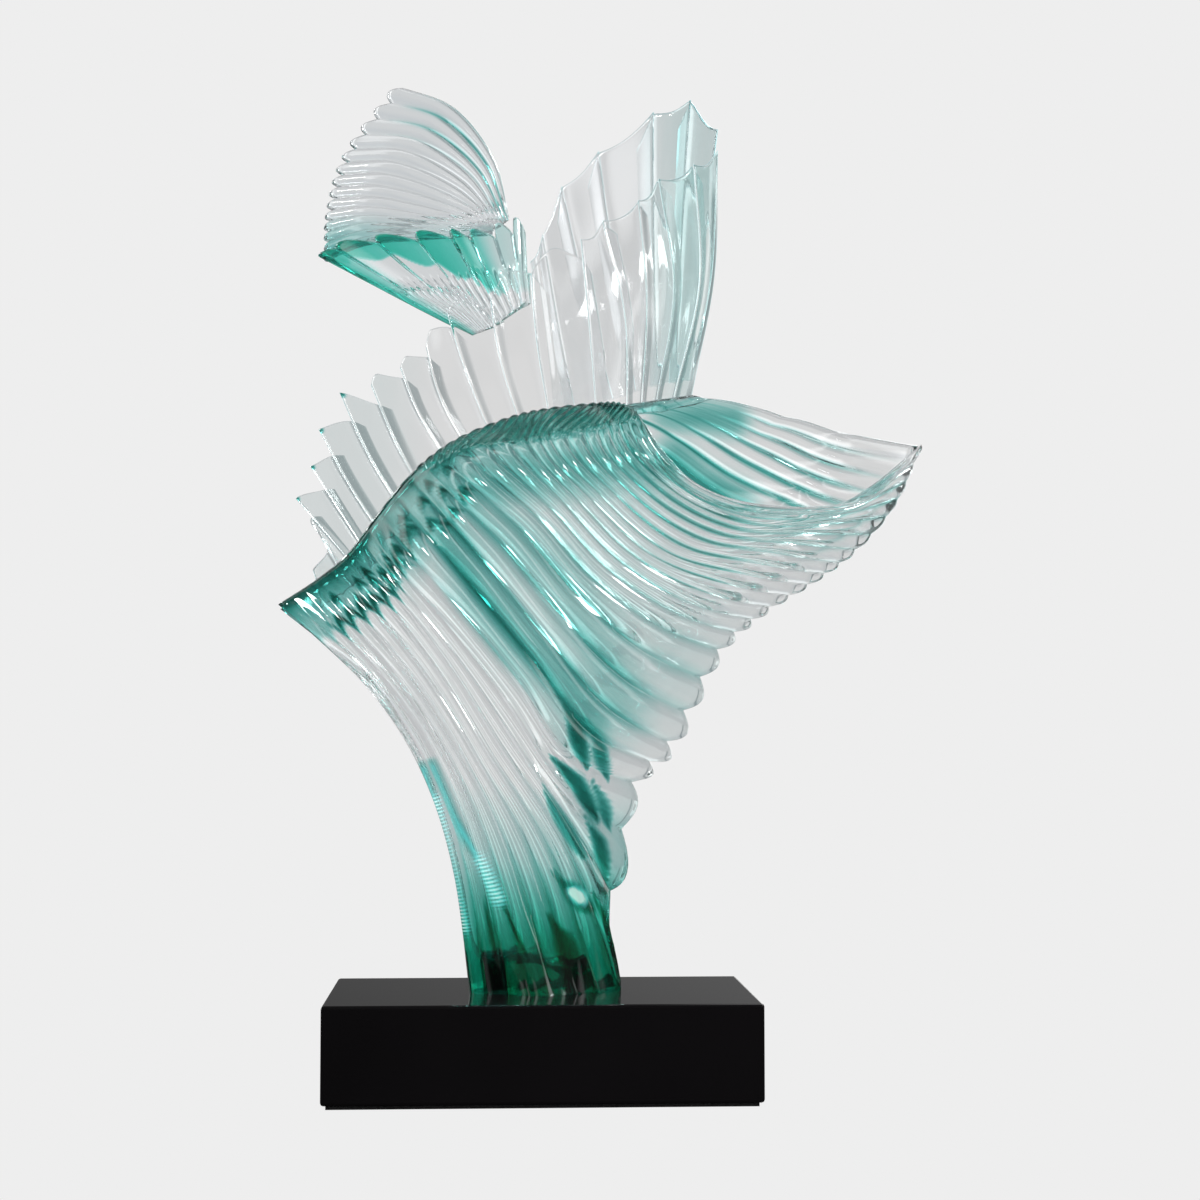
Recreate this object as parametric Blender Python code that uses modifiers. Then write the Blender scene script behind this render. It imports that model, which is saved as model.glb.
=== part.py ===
"""Abstract feather-fan sculpture: clear resin castings tinted sea green, bonded together on a black plinth.

Metres, +Z up, origin at the centre of the plinth's resting face, the show side facing -Y.
Every fan is a slab of resin bent over a net of guide ribs.
Points of a net are (x, y, height above the plinth).
"""

import math

import bmesh
import bpy
import numpy as np

# Plinth, its pad and the fixings that hold the resin down
PLINTH_WIDTH = 0.260
PLINTH_DEPTH = 0.150
PLINTH_HEIGHT = 0.0577
PLINTH_BEVEL = 0.0018
PAD_THICKNESS = 0.002
PAD_INSET = 0.003
SEAT_GAP = 0.0003
SCREW_SPACING = 0.042
SCREW_MIDDLE_X = -0.003
SCREW_DIAMETER = 0.008
SCREW_CLEARANCE = 0.0003
SCREW_ENGAGEMENT = 0.016
HEAD_DIAMETER = 0.013
HEAD_HEIGHT = 0.008
SOCKET_WIDTH = 0.006
SOCKET_DEPTH = 0.004
COUNTERBORE_DIAMETER = 0.018
COUNTERBORE_DEPTH = 0.030
WASHER_DIAMETER = 0.016
WASHER_THICKNESS = 0.0016
INSERT_DIAMETER = 0.014
INSERT_LENGTH = 0.020

# Resin walls, plates and the film of clear adhesive between them
WALL_THICKNESS = 0.007
WALL_BOND = 0.0008
MOST_PLEAT_DEPTH = 0.0030
LEAST_PLEAT_DEPTH = 0.0006
# A rib's swelling as a share of its width, and the least share of that at the ridge
PLEAT_SHARE = 0.25
RIDGE_PLEAT = 0.25
RIDGE_ROWS = 0.15
# How far the grooves are drawn back at the free edge, on large lower ribs and on small upper ones
SCALLOP_SHARE = 0.055
SMALL_SCALLOP_SHARE = 0.015
# Rows between which the back wall comes in to the front wall, and the row below which the foot is level
CLOSING_ROWS = (0.725, 0.945)
LEVEL_ROW = 0.8
FAN_THICKNESS = 0.005
FAN_PLEAT_DEPTH = 0.0022
FAN_SCALLOP_SHARE = 0.05
PLATE_THICKNESS = 0.004
PLATE_BOND = 0.0007
PLATE_OVERLAP = 1 / 3
# How strongly the direction in which plates are stacked is drawn from the fan's normal to straight back
STRAIGHT_BACK = 2.0
CORE_BOND = 0.0008
ROOT_BOND = 0.0016

# Counts of ribs and plates
WING_RIBS = 29
FOOT_RIBS = 7
FIRST_SMALL_RIBS = (12, 20)
LOWER_FAN_RIBS = 9
UPPER_FAN_RIBS = 11
POINTED_PLATES = 6
ROUNDED_PLATES = 4
LEAF_PLATES = 2
STEPPED_PLATES = 5
PETAL_PLATES = 6

# Front wall of the wing: guide ribs from the ridge down to the foot and the scalloped edge
WING_GUIDES = (0, 3.5, 7, 9.5, 12, 15, 17.5, 20.5, 22.5, 25.5, 29)
WING_ROWS = (0.0, 0.1, 0.3, 0.55, 0.8, 1.0)
WING_NET = (
    ((-0.164, 0.004, 0.239), (-0.142, -0.004, 0.220), (-0.105, -0.010, 0.184),
     (-0.073, -0.014, 0.134), (-0.053, -0.013, 0.070), (-0.044, -0.008, SEAT_GAP)),
    ((-0.140, 0.007, 0.255), (-0.120, -0.006, 0.235), (-0.085, -0.016, 0.196),
     (-0.049, -0.023, 0.141), (-0.021, -0.026, 0.077), (0.000, -0.025, SEAT_GAP)),
    ((-0.120, 0.010, 0.273), (-0.097, -0.005, 0.252), (-0.063, -0.018, 0.211),
     (-0.026, -0.027, 0.154), (0.018, -0.024, 0.084), (0.048, -0.004, SEAT_GAP)),
    ((-0.105, 0.012, 0.293), (-0.091, -0.005, 0.272), (-0.057, -0.021, 0.233),
     (-0.018, -0.030, 0.185), (0.018, -0.026, 0.135), (0.059, -0.008, 0.114)),
    ((-0.083, 0.013, 0.321), (-0.066, -0.005, 0.300), (-0.034, -0.024, 0.262),
     (0.003, -0.034, 0.216), (0.043, -0.027, 0.173), (0.085, -0.012, 0.150)),
    ((-0.053, 0.013, 0.343), (-0.044, -0.006, 0.329), (-0.005, -0.027, 0.293),
     (0.031, -0.036, 0.253), (0.075, -0.028, 0.223), (0.114, -0.014, 0.209)),
    ((-0.023, 0.014, 0.357), (-0.011, -0.007, 0.335), (0.016, -0.028, 0.302),
     (0.052, -0.038, 0.265), (0.097, -0.029, 0.242), (0.139, -0.015, 0.233)),
    ((0.006, 0.014, 0.364), (0.011, -0.008, 0.340), (0.038, -0.028, 0.306),
     (0.079, -0.039, 0.271), (0.131, -0.031, 0.260), (0.173, -0.015, 0.255)),
    ((0.031, 0.014, 0.367), (0.032, -0.008, 0.343), (0.056, -0.028, 0.308),
     (0.099, -0.039, 0.279), (0.150, -0.032, 0.273), (0.192, -0.015, 0.269)),
    ((0.050, 0.012, 0.367), (0.052, -0.009, 0.345), (0.078, -0.028, 0.311),
     (0.123, -0.039, 0.289), (0.175, -0.031, 0.291), (0.220, -0.013, 0.300)),
    ((0.062, 0.006, 0.358), (0.072, -0.008, 0.338), (0.096, -0.026, 0.310),
     (0.139, -0.036, 0.298), (0.199, -0.026, 0.306), (0.240, -0.006, 0.341)),
)
# How far the back wall stands off the front wall, at its own guides and the same rows
HOLLOW_GUIDES = (0, 1.7, 3.5, 7, 9, 12, 15.5, 22, 26, 29)
HOLLOW_NET = (
    ((0, 0, 0), (0, 0, 0), (0, 0, 0), (0, 0.005, 0), (0, 0.013, 0), (0, 0.018, 0)),
    ((0, 0, 0), (0, 0.006, 0.001), (0, 0.014, 0), (0, 0.026, 0), (0, 0.034, 0), (0, 0.037, 0)),
    ((0, 0, 0), (0, 0.016, 0.004), (0, 0.034, 0), (0, 0.042, 0), (0, 0.044, 0), (0, 0.044, 0)),
    ((0, 0, 0), (0, 0.018, 0.005), (0, 0.040, 0), (0, 0.048, 0), (0, 0.036, 0), (0, 0.008, 0)),
    ((0, 0, 0), (0, 0.020, 0.006), (0, 0.044, 0), (0, 0.052, 0), (0, 0.034, 0), (0, 0, 0)),
    ((0, 0, 0), (0, 0.021, 0.008), (0, 0.046, 0), (0, 0.056, 0), (0, 0.036, 0), (0, 0, 0)),
    ((0, 0, 0), (0, 0.022, 0.010), (0, 0.050, 0.006), (0, 0.060, 0.004), (0, 0.038, 0.002), (0, 0, 0)),
    ((0, 0, 0), (0.006, 0.028, 0.018), (0.010, 0.056, 0.034), (0.008, 0.064, 0.028),
     (0.004, 0.042, 0.012), (0, 0, 0)),
    ((0.008, 0.006, 0.006), (0.020, 0.034, 0.030), (0.028, 0.061, 0.053), (0.022, 0.070, 0.050),
     (0.006, 0.048, 0.026), (0, 0.0006, 0)),
    ((0.017, 0.012, 0.014), (0.031, 0.038, 0.042), (0.045, 0.064, 0.067), (0.034, 0.074, 0.066),
     (0.007, 0.052, 0.045), (0, 0.0012, 0)),
)
CORE_RIBS = 6
CORE_ROWS = (0.72, 0.81, 0.9, 1.0)
WALL_ROWS = (0.0, 0.05, 0.11, 0.22, 0.36, 0.53) + CORE_ROWS

# Crest of plates along the ridge: the rib behind which each plate stands, its belly and its tip
CREST_ROOTS = (
    2.2, 4.8, 6.1, 7.2, 9, 10.6, 11.7, 13.7, 15.1, 16.4, 18, 20.2, 22.5, 24.3, 25.3, 26.3, 27.3, 28.4)
CREST_ROOT_ROWS = (0.05,) * 12 + (0.058, 0.075, 0.085, 0.095, 0.11, 0.125)
CREST_BOW = (
    0, 0, 0, 0, -0.002, -0.003, -0.002, -0.004, -0.005, -0.002, -0.004, -0.003, 0, 0.006, 0.004, 0.010,
    0.010, 0.007)
CREST_BELLY = (0.004, 0.004, 0.003, 0.002, 0, -0.001, -0.003, -0.004, -0.004, -0.005) + (-0.006,) * 4 + (
    -0.005, -0.004, -0.001, 0.002)
CREST_TIPS = (
    (-0.145, 0.026, 0.262), (-0.140, 0.030, 0.282), (-0.156, 0.032, 0.308), (-0.147, 0.033, 0.329),
    (-0.142, 0.034, 0.353), (-0.129, 0.035, 0.377), (-0.111, 0.036, 0.387), (-0.092, 0.038, 0.398),
    (-0.075, 0.040, 0.413), (-0.062, 0.040, 0.435), (-0.034, 0.040, 0.449), (-0.007, 0.040, 0.469),
    (0.026, 0.038, 0.479), (0.040, 0.036, 0.491), (0.063, 0.033, 0.504), (0.076, 0.032, 0.518),
    (0.099, 0.036, 0.529), (0.117, 0.044, 0.542),
)
# Outline of a plate's top: where across its width the peak lies, the fall before and after it, and its sag
POINTED_TOP = (0.0, 0.0, 0.22, 0.0)
ROUNDED_TOP = (0.3, 0.07, 0.15, 0.0)
LEAF_TOP = (0.5, 0.12, 0.10, 0.0)
STEPPED_TOP = (0.0, 0.0, 0.0, 0.03)
OVERLAP_DROP = 0.3

# Back layer of the right petal, standing behind the crest
PETAL_ROOTS = (16.95, 16.2, 15.2, 13.8, 12.6, 11.6, 11.1)
PETAL_ROOT_ROW = 0.08
# How far the petal's middle surface lies behind the crest's at the root, in half depths of a leaning plate
PETAL_SETBACK = 1.8
PETAL_BELLY = 0.010
PETAL_TIPS = (
    (0.119, 0.060, 0.559), (0.102, 0.074, 0.583), (0.077, 0.079, 0.576), (0.040, 0.080, 0.549),
    (0.015, 0.077, 0.524), (0.002, 0.071, 0.490), (-0.006, 0.066, 0.471),
)

# Left wing: a lower fan that leaves the crest, and an upper fan bonded behind the lower fan's tips
LOWER_GUIDES = (0, 2, 4.5, 6.5, 8, 9)
LOWER_ROOTS = (9.45, 9.6, 9.8, 10.1, 10.5, 10.9)
LOWER_ROOT_ROW = 0.76
LOWER_BOND = 0.0002
LOWER_BELLY = 0.002
LOWER_TIPS = (
    (-0.144, 0.028, 0.465), (-0.126, 0.036, 0.477), (-0.091, 0.045, 0.484),
    (-0.065, 0.050, 0.488), (-0.040, 0.055, 0.490), (-0.010, 0.058, 0.500),
)
UPPER_BOND = 0.0011
UPPER_START_RIB = 8.3
UPPER_START_ROW = 0.94
UPPER_GUIDES = (0, 4, 8, 11)
UPPER_ROWS = (0.0, 0.33, 0.66, 1.0)
UPPER_LIFTS = (
    ((0, 0, 0), (0, 0, 0), (0, 0, 0), (0, 0, 0)),
    ((0.002, 0.004, 0.004), (0.008, 0.014, 0.018), (0.002, 0.018, 0.030), (0.000, 0.014, 0.039)),
    ((0.006, 0.008, 0.007), (0.025, 0.022, 0.046), (0.024, 0.028, 0.072), (0.013, 0.024, 0.084)),
    ((0.011, 0.010, 0.012), (0.046, 0.022, 0.060), (0.056, 0.028, 0.100), (0.043, 0.032, 0.128)),
)

WING_COLUMNS_PER_RIB = 4
FAN_COLUMNS_PER_RIB = 2
FAN_ROW_COUNT = 5
PLATE_COLUMNS = 8
PLATE_ROW_COUNT = 9
ROUND_SIDES = 32
SHARP_ANGLE = 40
STEP = 1e-3
# The middle of a slab between its front face, 0, and its back face, 1
MIDDLE = 0.5

PLINTH_BOTTOM = PAD_THICKNESS + SEAT_GAP
PLINTH_TOP = PLINTH_BOTTOM + PLINTH_HEIGHT
FINISHES = {
    "clear_resin": ((0.80, 0.88, 0.88), 0.06, 0.0),
    "green_resin": ((0.30, 0.68, 0.60), 0.06, 0.0),
    "deep_green_resin": ((0.02, 0.36, 0.28), 0.06, 0.0),
    "black_lacquer": ((0.012, 0.012, 0.014), 0.12, 0.0),
    "felt": ((0.02, 0.02, 0.02), 0.95, 0.0),
    "steel": ((0.60, 0.60, 0.62), 0.30, 1.0),
    "brass": ((0.78, 0.60, 0.28), 0.35, 1.0),
}


def smooth_step(x, low, high):
    """0 below low, 1 above high, and a smooth rise between."""
    q = np.clip((x - low) / (high - low), 0, 1)
    return q * q * (3 - 2 * q)


def ease(knots, x):
    """The span of knots that holds each x, its length and how far along it x lies."""
    i = np.clip(np.searchsorted(knots, x, side="right") - 1, 0, len(knots) - 2)
    step = knots[i + 1] - knots[i]
    return i, step, (x - knots[i]) / step


def hermite(start, end, start_slope, end_slope, step, q):
    """Cubic from start to end with the given slopes, q of the way along."""
    return (start * (1 - q) ** 2 * (1 + 2 * q) + start_slope * step * q * (1 - q) ** 2
            + end * q * q * (3 - 2 * q) - end_slope * step * q * q * (1 - q))


def through(knots, values, x):
    """Smooth curve through values at knots, read at the points x."""
    knots, values = np.asarray(knots, float), np.asarray(values, float)
    slopes = np.gradient(values, knots, axis=0)
    i, step, q = ease(knots, x)
    shape = (-1,) + (1,) * (values.ndim - 1)
    return hermite(values[i], values[i + 1], slopes[i], slopes[i + 1], step.reshape(shape), q.reshape(shape))


def net_point(guides, rows, net, k, t):
    """Points at rib k and row t of the smooth surface through a net of guide ribs."""
    across = through(guides, net, k)
    rows = np.asarray(rows, float)
    slopes = np.gradient(across, rows, axis=1)
    i, step, q = ease(rows, t)
    n = np.arange(len(k))
    return hermite(across[n, i], across[n, i + 1], slopes[n, i], slopes[n, i + 1], step[:, None], q[:, None])


def unit(vectors):
    return vectors / np.linalg.norm(vectors, axis=1, keepdims=True)


def back_normal(surface, k, t):
    """Unit normals of a surface, on the side away from the viewer."""
    across = surface(k + STEP, t) - surface(k - STEP, t)
    along = surface(k, t + STEP) - surface(k, t - STEP)
    normal = unit(np.cross(across, along))
    return normal * np.where(normal[:, 1:2] < 0, -1, 1)


def stacking_normal(surface, k, t):
    """Direction in which plates are stacked: the surface's normal, drawn towards straight back."""
    return unit(back_normal(surface, k, t) + (0, STRAIGHT_BACK, 0))


def lobe(k):
    """0 in the groove between two ribs and 1 on a rib's crest."""
    return np.abs(np.sin(math.pi * k))


def front_middle(k, t):
    """Middle of the wing's front wall, without its pleats."""
    return net_point(WING_GUIDES, WING_ROWS, WING_NET, k, t)


def wall_normal(surface, k, t):
    """Normal of a wing wall, laid level at the foot so that the foot stands flat."""
    normal = back_normal(surface, k, t)
    foot = smooth_step(t, LEVEL_ROW, 1) * (1 - smooth_step(k, FOOT_RIBS, FOOT_RIBS + 2))
    normal[:, 2] *= 1 - foot
    return unit(normal)


def free_edge(k):
    """1 on the ribs that end on the wing's free edge, and 0 on those of the foot and on the rim."""
    return smooth_step(k, FOOT_RIBS, FOOT_RIBS + 2.5) * (1 - smooth_step(k, WING_RIBS - 1, WING_RIBS))


def back_middle(k, t):
    """Middle of the wing's back wall: it nests behind the front wall and stands off it by the hollow."""
    nest = wall_normal(front_middle, k, t) * (WALL_THICKNESS + WALL_BOND)
    open_share = 1 - free_edge(k) * smooth_step(t, *CLOSING_ROWS)
    hollow = net_point(HOLLOW_GUIDES, WING_ROWS, HOLLOW_NET, k, t) * open_share[:, None]
    return front_middle(k, t) + nest + hollow


def rib_width(surface, k, t):
    """How far apart the grooves on the two sides of a rib are."""
    across = (surface(k + STEP, t) - surface(k - STEP, t)) / (2 * STEP)
    along = unit(surface(k, t + STEP) - surface(k, t - STEP))
    return np.linalg.norm(across - along * (across * along).sum(axis=1, keepdims=True), axis=1)


def pleat(surface, k, t):
    """How far a wing wall's ribs swell to the front: wide ribs swell more, and all fade at the ridge."""
    depth = np.clip(PLEAT_SHARE * rib_width(surface, k, t), LEAST_PLEAT_DEPTH, MOST_PLEAT_DEPTH)
    return depth * lobe(k) * (RIDGE_PLEAT + (1 - RIDGE_PLEAT) * smooth_step(t, 0, RIDGE_ROWS))


def scalloped(k, t):
    """Draws the grooves back from the wing's free edge, so that each rib ends in its own lobe."""
    share = SCALLOP_SHARE + (SMALL_SCALLOP_SHARE - SCALLOP_SHARE) * smooth_step(k, *FIRST_SMALL_RIBS)
    return t * (1 - share * free_edge(k) * (1 - lobe(k)))


def standing(points):
    """The same points, with none below the face that stands on the plinth."""
    points[:, 2] = np.maximum(points[:, 2], SEAT_GAP)
    return points


def wing_wall(middle):
    """Shape of a pleated wing wall, from its front face at w 0 to its back face at w 1."""
    def place(k, t, w):
        t = scalloped(k, t)
        depth = (w - MIDDLE) * WALL_THICKNESS - pleat(middle, k, t)
        return standing(middle(k, t) + wall_normal(middle, k, t) * depth[:, None])
    return place


def foot_core(k, t, w):
    """The solid resin between the two walls at the foot."""
    bond = np.full_like(k, CORE_BOND / WALL_THICKNESS)
    behind_front = wing_wall(front_middle)(k, t, 1 + bond)
    before_back = wing_wall(back_middle)(k, t, -bond)
    return behind_front + (before_back - behind_front) * w[:, None]


def plate_step():
    """How far a plate leans back across its width, so that it passes behind the next one."""
    return (PLATE_THICKNESS + PLATE_BOND) * (1 + PLATE_OVERLAP)


def plate_half_depth():
    return (plate_step() + PLATE_THICKNESS) / 2


def crest_net():
    """Root, middle and tip of the crest at each plate's left edge."""
    ribs = np.asarray(CREST_ROOTS, float)
    row = np.asarray(CREST_ROOT_ROWS, float)
    root = back_middle(ribs, row) + wall_normal(back_middle, ribs, row) * WALL_THICKNESS / 2
    root[:, 1] += ROOT_BOND + plate_half_depth()
    tip = np.array(CREST_TIPS)
    middle = (root + tip) / 2
    middle[:, 0] += CREST_BOW
    middle[:, 1] += CREST_BELLY
    return np.stack([root, middle, tip], axis=1)


def crest_surface(s, t):
    return net_point(range(len(CREST_TIPS)), (0, 0.5, 1), crest_net(), s, t)


def petal_net():
    """Root, middle and tip of the petal's back layer, whose roots are bonded behind the crest."""
    s = np.asarray(PETAL_ROOTS, float)
    row = np.full_like(s, PETAL_ROOT_ROW)
    off = PETAL_SETBACK * plate_half_depth() + PLATE_BOND
    root = crest_surface(s, row) + back_normal(crest_surface, s, row) * off
    tip = np.array(PETAL_TIPS)
    middle = (root + tip) / 2
    middle[:, 1] += PETAL_BELLY
    return np.stack([root, middle, tip], axis=1)


def petal_surface(s, t):
    return net_point(range(len(PETAL_TIPS)), (0, 0.5, 1), petal_net(), s, t)


def plate_cut(across, top):
    """How much of the fan's height is cut off a plate's top, between its own edge, 0, and the next, 1."""
    peak, shoulder, drop, sag = top
    before = np.clip(peak - across, 0, 1) / max(peak, STEP)
    after = np.clip(across - peak, 0, 1) / (1 - peak)
    dip = np.sin(math.pi * np.clip(across, 0, 1))
    beyond = np.clip(across - 1, 0, 1)
    return shoulder * before ** 2 + drop * after + sag * dip + OVERLAP_DROP * beyond


def fan_plate(surface, first, top, last):
    """Shape of one plate of a fan: it starts at its own guide and passes behind the next plate's edge."""
    width = 1 if last else 1 + PLATE_OVERLAP

    def place(share, t, w):
        across = share * width
        t = t * (1 - plate_cut(across, top) * t ** 2)
        lean = plate_step() * (MIDDLE - across / (1 + PLATE_OVERLAP))
        depth = (w - MIDDLE) * PLATE_THICKNESS - lean
        return surface(first + across, t) + stacking_normal(surface, first + across, t) * depth[:, None]
    return place


def lower_net():
    """Root, middle and tip of the left wing's lower fan, whose roots are bonded behind the crest."""
    s = np.asarray(LOWER_ROOTS, float)
    row = np.full_like(s, LOWER_ROOT_ROW)
    off = plate_half_depth() + LOWER_BOND + FAN_THICKNESS / 2 + FAN_PLEAT_DEPTH
    root = crest_surface(s, row) + back_normal(crest_surface, s, row) * off
    tip = np.array(LOWER_TIPS)
    middle = (root + tip) / 2
    middle[:, 1] += LOWER_BELLY
    return np.stack([root, middle, tip], axis=1)


def lower_surface(k, t):
    return net_point(LOWER_GUIDES, (0, 0.5, 1), lower_net(), k, t)


def upper_net():
    """Guide ribs of the upper fan: the first lies behind the lower fan's tips, the others rise from it."""
    along = np.asarray(UPPER_ROWS, float)
    k = UPPER_START_RIB * (1 - along)
    t = np.full_like(k, UPPER_START_ROW)
    off = FAN_THICKNESS + UPPER_BOND
    first = lower_surface(k, t) + back_normal(lower_surface, k, t) * off
    return first[None] + np.array(UPPER_LIFTS)


def upper_surface(k, t):
    return net_point(UPPER_GUIDES, UPPER_ROWS, upper_net(), k, t)


def fan_wall(surface):
    """Shape of a pleated fan of the left wing."""
    def place(k, t, w):
        t = t * (1 - FAN_SCALLOP_SHARE * (1 - lobe(k)))
        depth = (w - MIDDLE) * FAN_THICKNESS - FAN_PLEAT_DEPTH * lobe(k)
        return surface(k, t) + back_normal(surface, k, t) * depth[:, None]
    return place


def finish(name):
    """The material of one finish, made on first use."""
    found = bpy.data.materials.get(name)
    if found:
        return found
    colour, roughness, metallic = FINISHES[name]
    material = bpy.data.materials.new(name)
    material.use_nodes = True
    shader = material.node_tree.nodes["Principled BSDF"]
    shader.inputs["Base Color"].default_value = (*colour, 1)
    shader.inputs["Roughness"].default_value = roughness
    shader.inputs["Metallic"].default_value = metallic
    return material


def add(name, mesh, material):
    """A new object of the sculpture."""
    obj = bpy.data.objects.new(name, mesh)
    mesh.materials.append(finish(material))
    parts.objects.link(obj)
    return obj


def bent_slab(name, columns, rows, place, material):
    """A flat slab, cut into columns and rows, bent to the shape that place gives for them and the depth."""
    bm = bmesh.new()
    across, along = len(columns) - 1, len(rows) - 1
    bmesh.ops.create_grid(bm, x_segments=across, y_segments=along, size=0.5)
    bmesh.ops.triangulate(bm, faces=bm.faces[:], quad_method="FIXED")
    raised = bmesh.ops.extrude_face_region(bm, geom=bm.faces[:])["geom"]
    for vertex in raised:
        if isinstance(vertex, bmesh.types.BMVert):
            vertex.co.z = 1
    at = np.array([vertex.co for vertex in bm.verts])
    column = np.asarray(columns, float)[np.rint((at[:, 0] + 0.5) * across).astype(int)]
    row = np.asarray(rows, float)[np.rint((at[:, 1] + 0.5) * along).astype(int)]
    bent = place(column, row, at[:, 2]) + (0, 0, PLINTH_TOP)
    for vertex, point in zip(bm.verts, bent, strict=True):
        vertex.co = point
    bmesh.ops.recalc_face_normals(bm, faces=bm.faces[:])
    mesh = bpy.data.meshes.new(name)
    bm.to_mesh(mesh)
    bm.free()
    return add(name, mesh, material)


def rib_columns(last, columns_per_rib):
    return np.linspace(0, last, last * columns_per_rib + 1)


def round_bar(name, radius, bottom, top, x, material="steel"):
    """An upright cylinder at x on the plinth's middle line."""
    bm = bmesh.new()
    bmesh.ops.create_cone(bm, cap_ends=True, segments=ROUND_SIDES, radius1=radius, radius2=radius,
                          depth=top - bottom)
    bmesh.ops.translate(bm, vec=(x, 0, (top + bottom) / 2), verts=bm.verts[:])
    mesh = bpy.data.meshes.new(name)
    bm.to_mesh(mesh)
    bm.free()
    mesh.shade_smooth()
    mesh.set_sharp_from_angle(angle=math.radians(SHARP_ANGLE))
    return add(name, mesh, material)


def block(name, width, depth, bottom, top, material):
    """An upright box centred on the plinth's middle."""
    bm = bmesh.new()
    bmesh.ops.create_cube(bm, size=1)
    bmesh.ops.scale(bm, vec=(width, depth, top - bottom), verts=bm.verts[:])
    bmesh.ops.translate(bm, vec=(0, 0, (top + bottom) / 2), verts=bm.verts[:])
    mesh = bpy.data.meshes.new(name)
    bm.to_mesh(mesh)
    bm.free()
    return add(name, mesh, material)


def as_cutter(obj):
    """Moves an object to the cutters, which are not part of the sculpture."""
    parts.objects.unlink(obj)
    cutters.objects.link(obj)
    obj.hide_render = True
    obj.display_type = "WIRE"
    return obj


def joined(obj, other, operation):
    """Cuts other from obj, or joins it to obj."""
    boolean = obj.modifiers.new(other.name, "BOOLEAN")
    boolean.operation = operation
    boolean.object = as_cutter(other)


def cut(obj, other):
    joined(obj, other, "DIFFERENCE")


def make_plinth():
    """The lacquered block with its two counterbored holes, and the felt pad under it."""
    block("felt_pad", PLINTH_WIDTH - 2 * PAD_INSET, PLINTH_DEPTH - 2 * PAD_INSET, 0, PAD_THICKNESS, "felt")
    plinth = block("plinth_block", PLINTH_WIDTH, PLINTH_DEPTH, PLINTH_BOTTOM, PLINTH_TOP, "black_lacquer")
    bevel = plinth.modifiers.new("bevel", "BEVEL")
    bevel.width = PLINTH_BEVEL
    bevel.segments = 2
    for side, x in screw_places():
        hole = SCREW_DIAMETER / 2 + SCREW_CLEARANCE
        cut(plinth, round_bar("screw_hole_" + side, hole, 0, PLINTH_TOP + PLINTH_HEIGHT, x))
        shoulder = PLINTH_BOTTOM + COUNTERBORE_DEPTH
        cut(plinth, round_bar("counterbore_" + side, COUNTERBORE_DIAMETER / 2, 0, shoulder, x))


def screw_places():
    return (("left", SCREW_MIDDLE_X - SCREW_SPACING / 2), ("right", SCREW_MIDDLE_X + SCREW_SPACING / 2))


def make_fixings(core):
    """Screws that come up through the plinth, their washers, and the brass inserts in the resin foot."""
    core_bottom = PLINTH_TOP + SEAT_GAP
    for side, x in screw_places():
        washer_top = PLINTH_BOTTOM + COUNTERBORE_DEPTH - SEAT_GAP
        washer_bottom = washer_top - WASHER_THICKNESS
        loose = SCREW_DIAMETER / 2 + SCREW_CLEARANCE
        washer = round_bar("washer_" + side, WASHER_DIAMETER / 2, washer_bottom, washer_top, x)
        cut(washer, round_bar("washer_hole_" + side, loose, 0, PLINTH_TOP, x))
        head_top = washer_bottom - SEAT_GAP
        head_bottom = head_top - HEAD_HEIGHT
        shank_top = core_bottom + SCREW_ENGAGEMENT
        screw = round_bar("fixing_screw_" + side, HEAD_DIAMETER / 2, head_bottom, head_top, x)
        shank = round_bar("shank_" + side, SCREW_DIAMETER / 2, head_top - SOCKET_DEPTH / 2, shank_top, x)
        joined(screw, shank, "UNION")
        socket = round_bar("socket_" + side, SOCKET_WIDTH / 2, 0, head_bottom + SOCKET_DEPTH, x)
        cut(screw, socket)
        insert_top = core_bottom + INSERT_LENGTH
        insert = round_bar("insert_" + side, INSERT_DIAMETER / 2, core_bottom, insert_top, x, "brass")
        cut(insert, round_bar("insert_bore_" + side, loose, 0, core_bottom + 2 * INSERT_LENGTH, x))
        pocket_top = insert_top + SEAT_GAP
        cut(core, round_bar("insert_pocket_" + side, INSERT_DIAMETER / 2 + SEAT_GAP, 0, pocket_top, x))


def make_wing():
    """The pleated front and back walls of the wing, and the solid core of its foot."""
    columns = rib_columns(WING_RIBS, WING_COLUMNS_PER_RIB)
    bent_slab("wing_front", columns, WALL_ROWS, wing_wall(front_middle), "green_resin")
    bent_slab("wing_back", columns, WALL_ROWS, wing_wall(back_middle), "green_resin")
    core_columns = rib_columns(CORE_RIBS, WING_COLUMNS_PER_RIB)
    return bent_slab("foot_core", core_columns, CORE_ROWS, foot_core, "deep_green_resin")


def make_plates(name, surface, tops):
    """A fan of plates, each bonded behind the next one's edge."""
    columns = np.linspace(0, 1, PLATE_COLUMNS + 1)
    rows = np.linspace(0, 1, PLATE_ROW_COUNT + 1)
    for i, top in enumerate(tops):
        place = fan_plate(surface, i, top, i == len(tops) - 1)
        bent_slab(f"{name}_{i + 1:02d}", columns, rows, place, "clear_resin")


def make_left_wing():
    """The two pleated fans on the left."""
    rows = np.linspace(0, 1, FAN_ROW_COUNT + 1)
    lower = rib_columns(LOWER_FAN_RIBS, FAN_COLUMNS_PER_RIB)
    upper = rib_columns(UPPER_FAN_RIBS, FAN_COLUMNS_PER_RIB)
    bent_slab("fan_lower", lower, rows, fan_wall(lower_surface), "clear_resin")
    bent_slab("fan_upper", upper, rows, fan_wall(upper_surface), "clear_resin")


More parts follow.
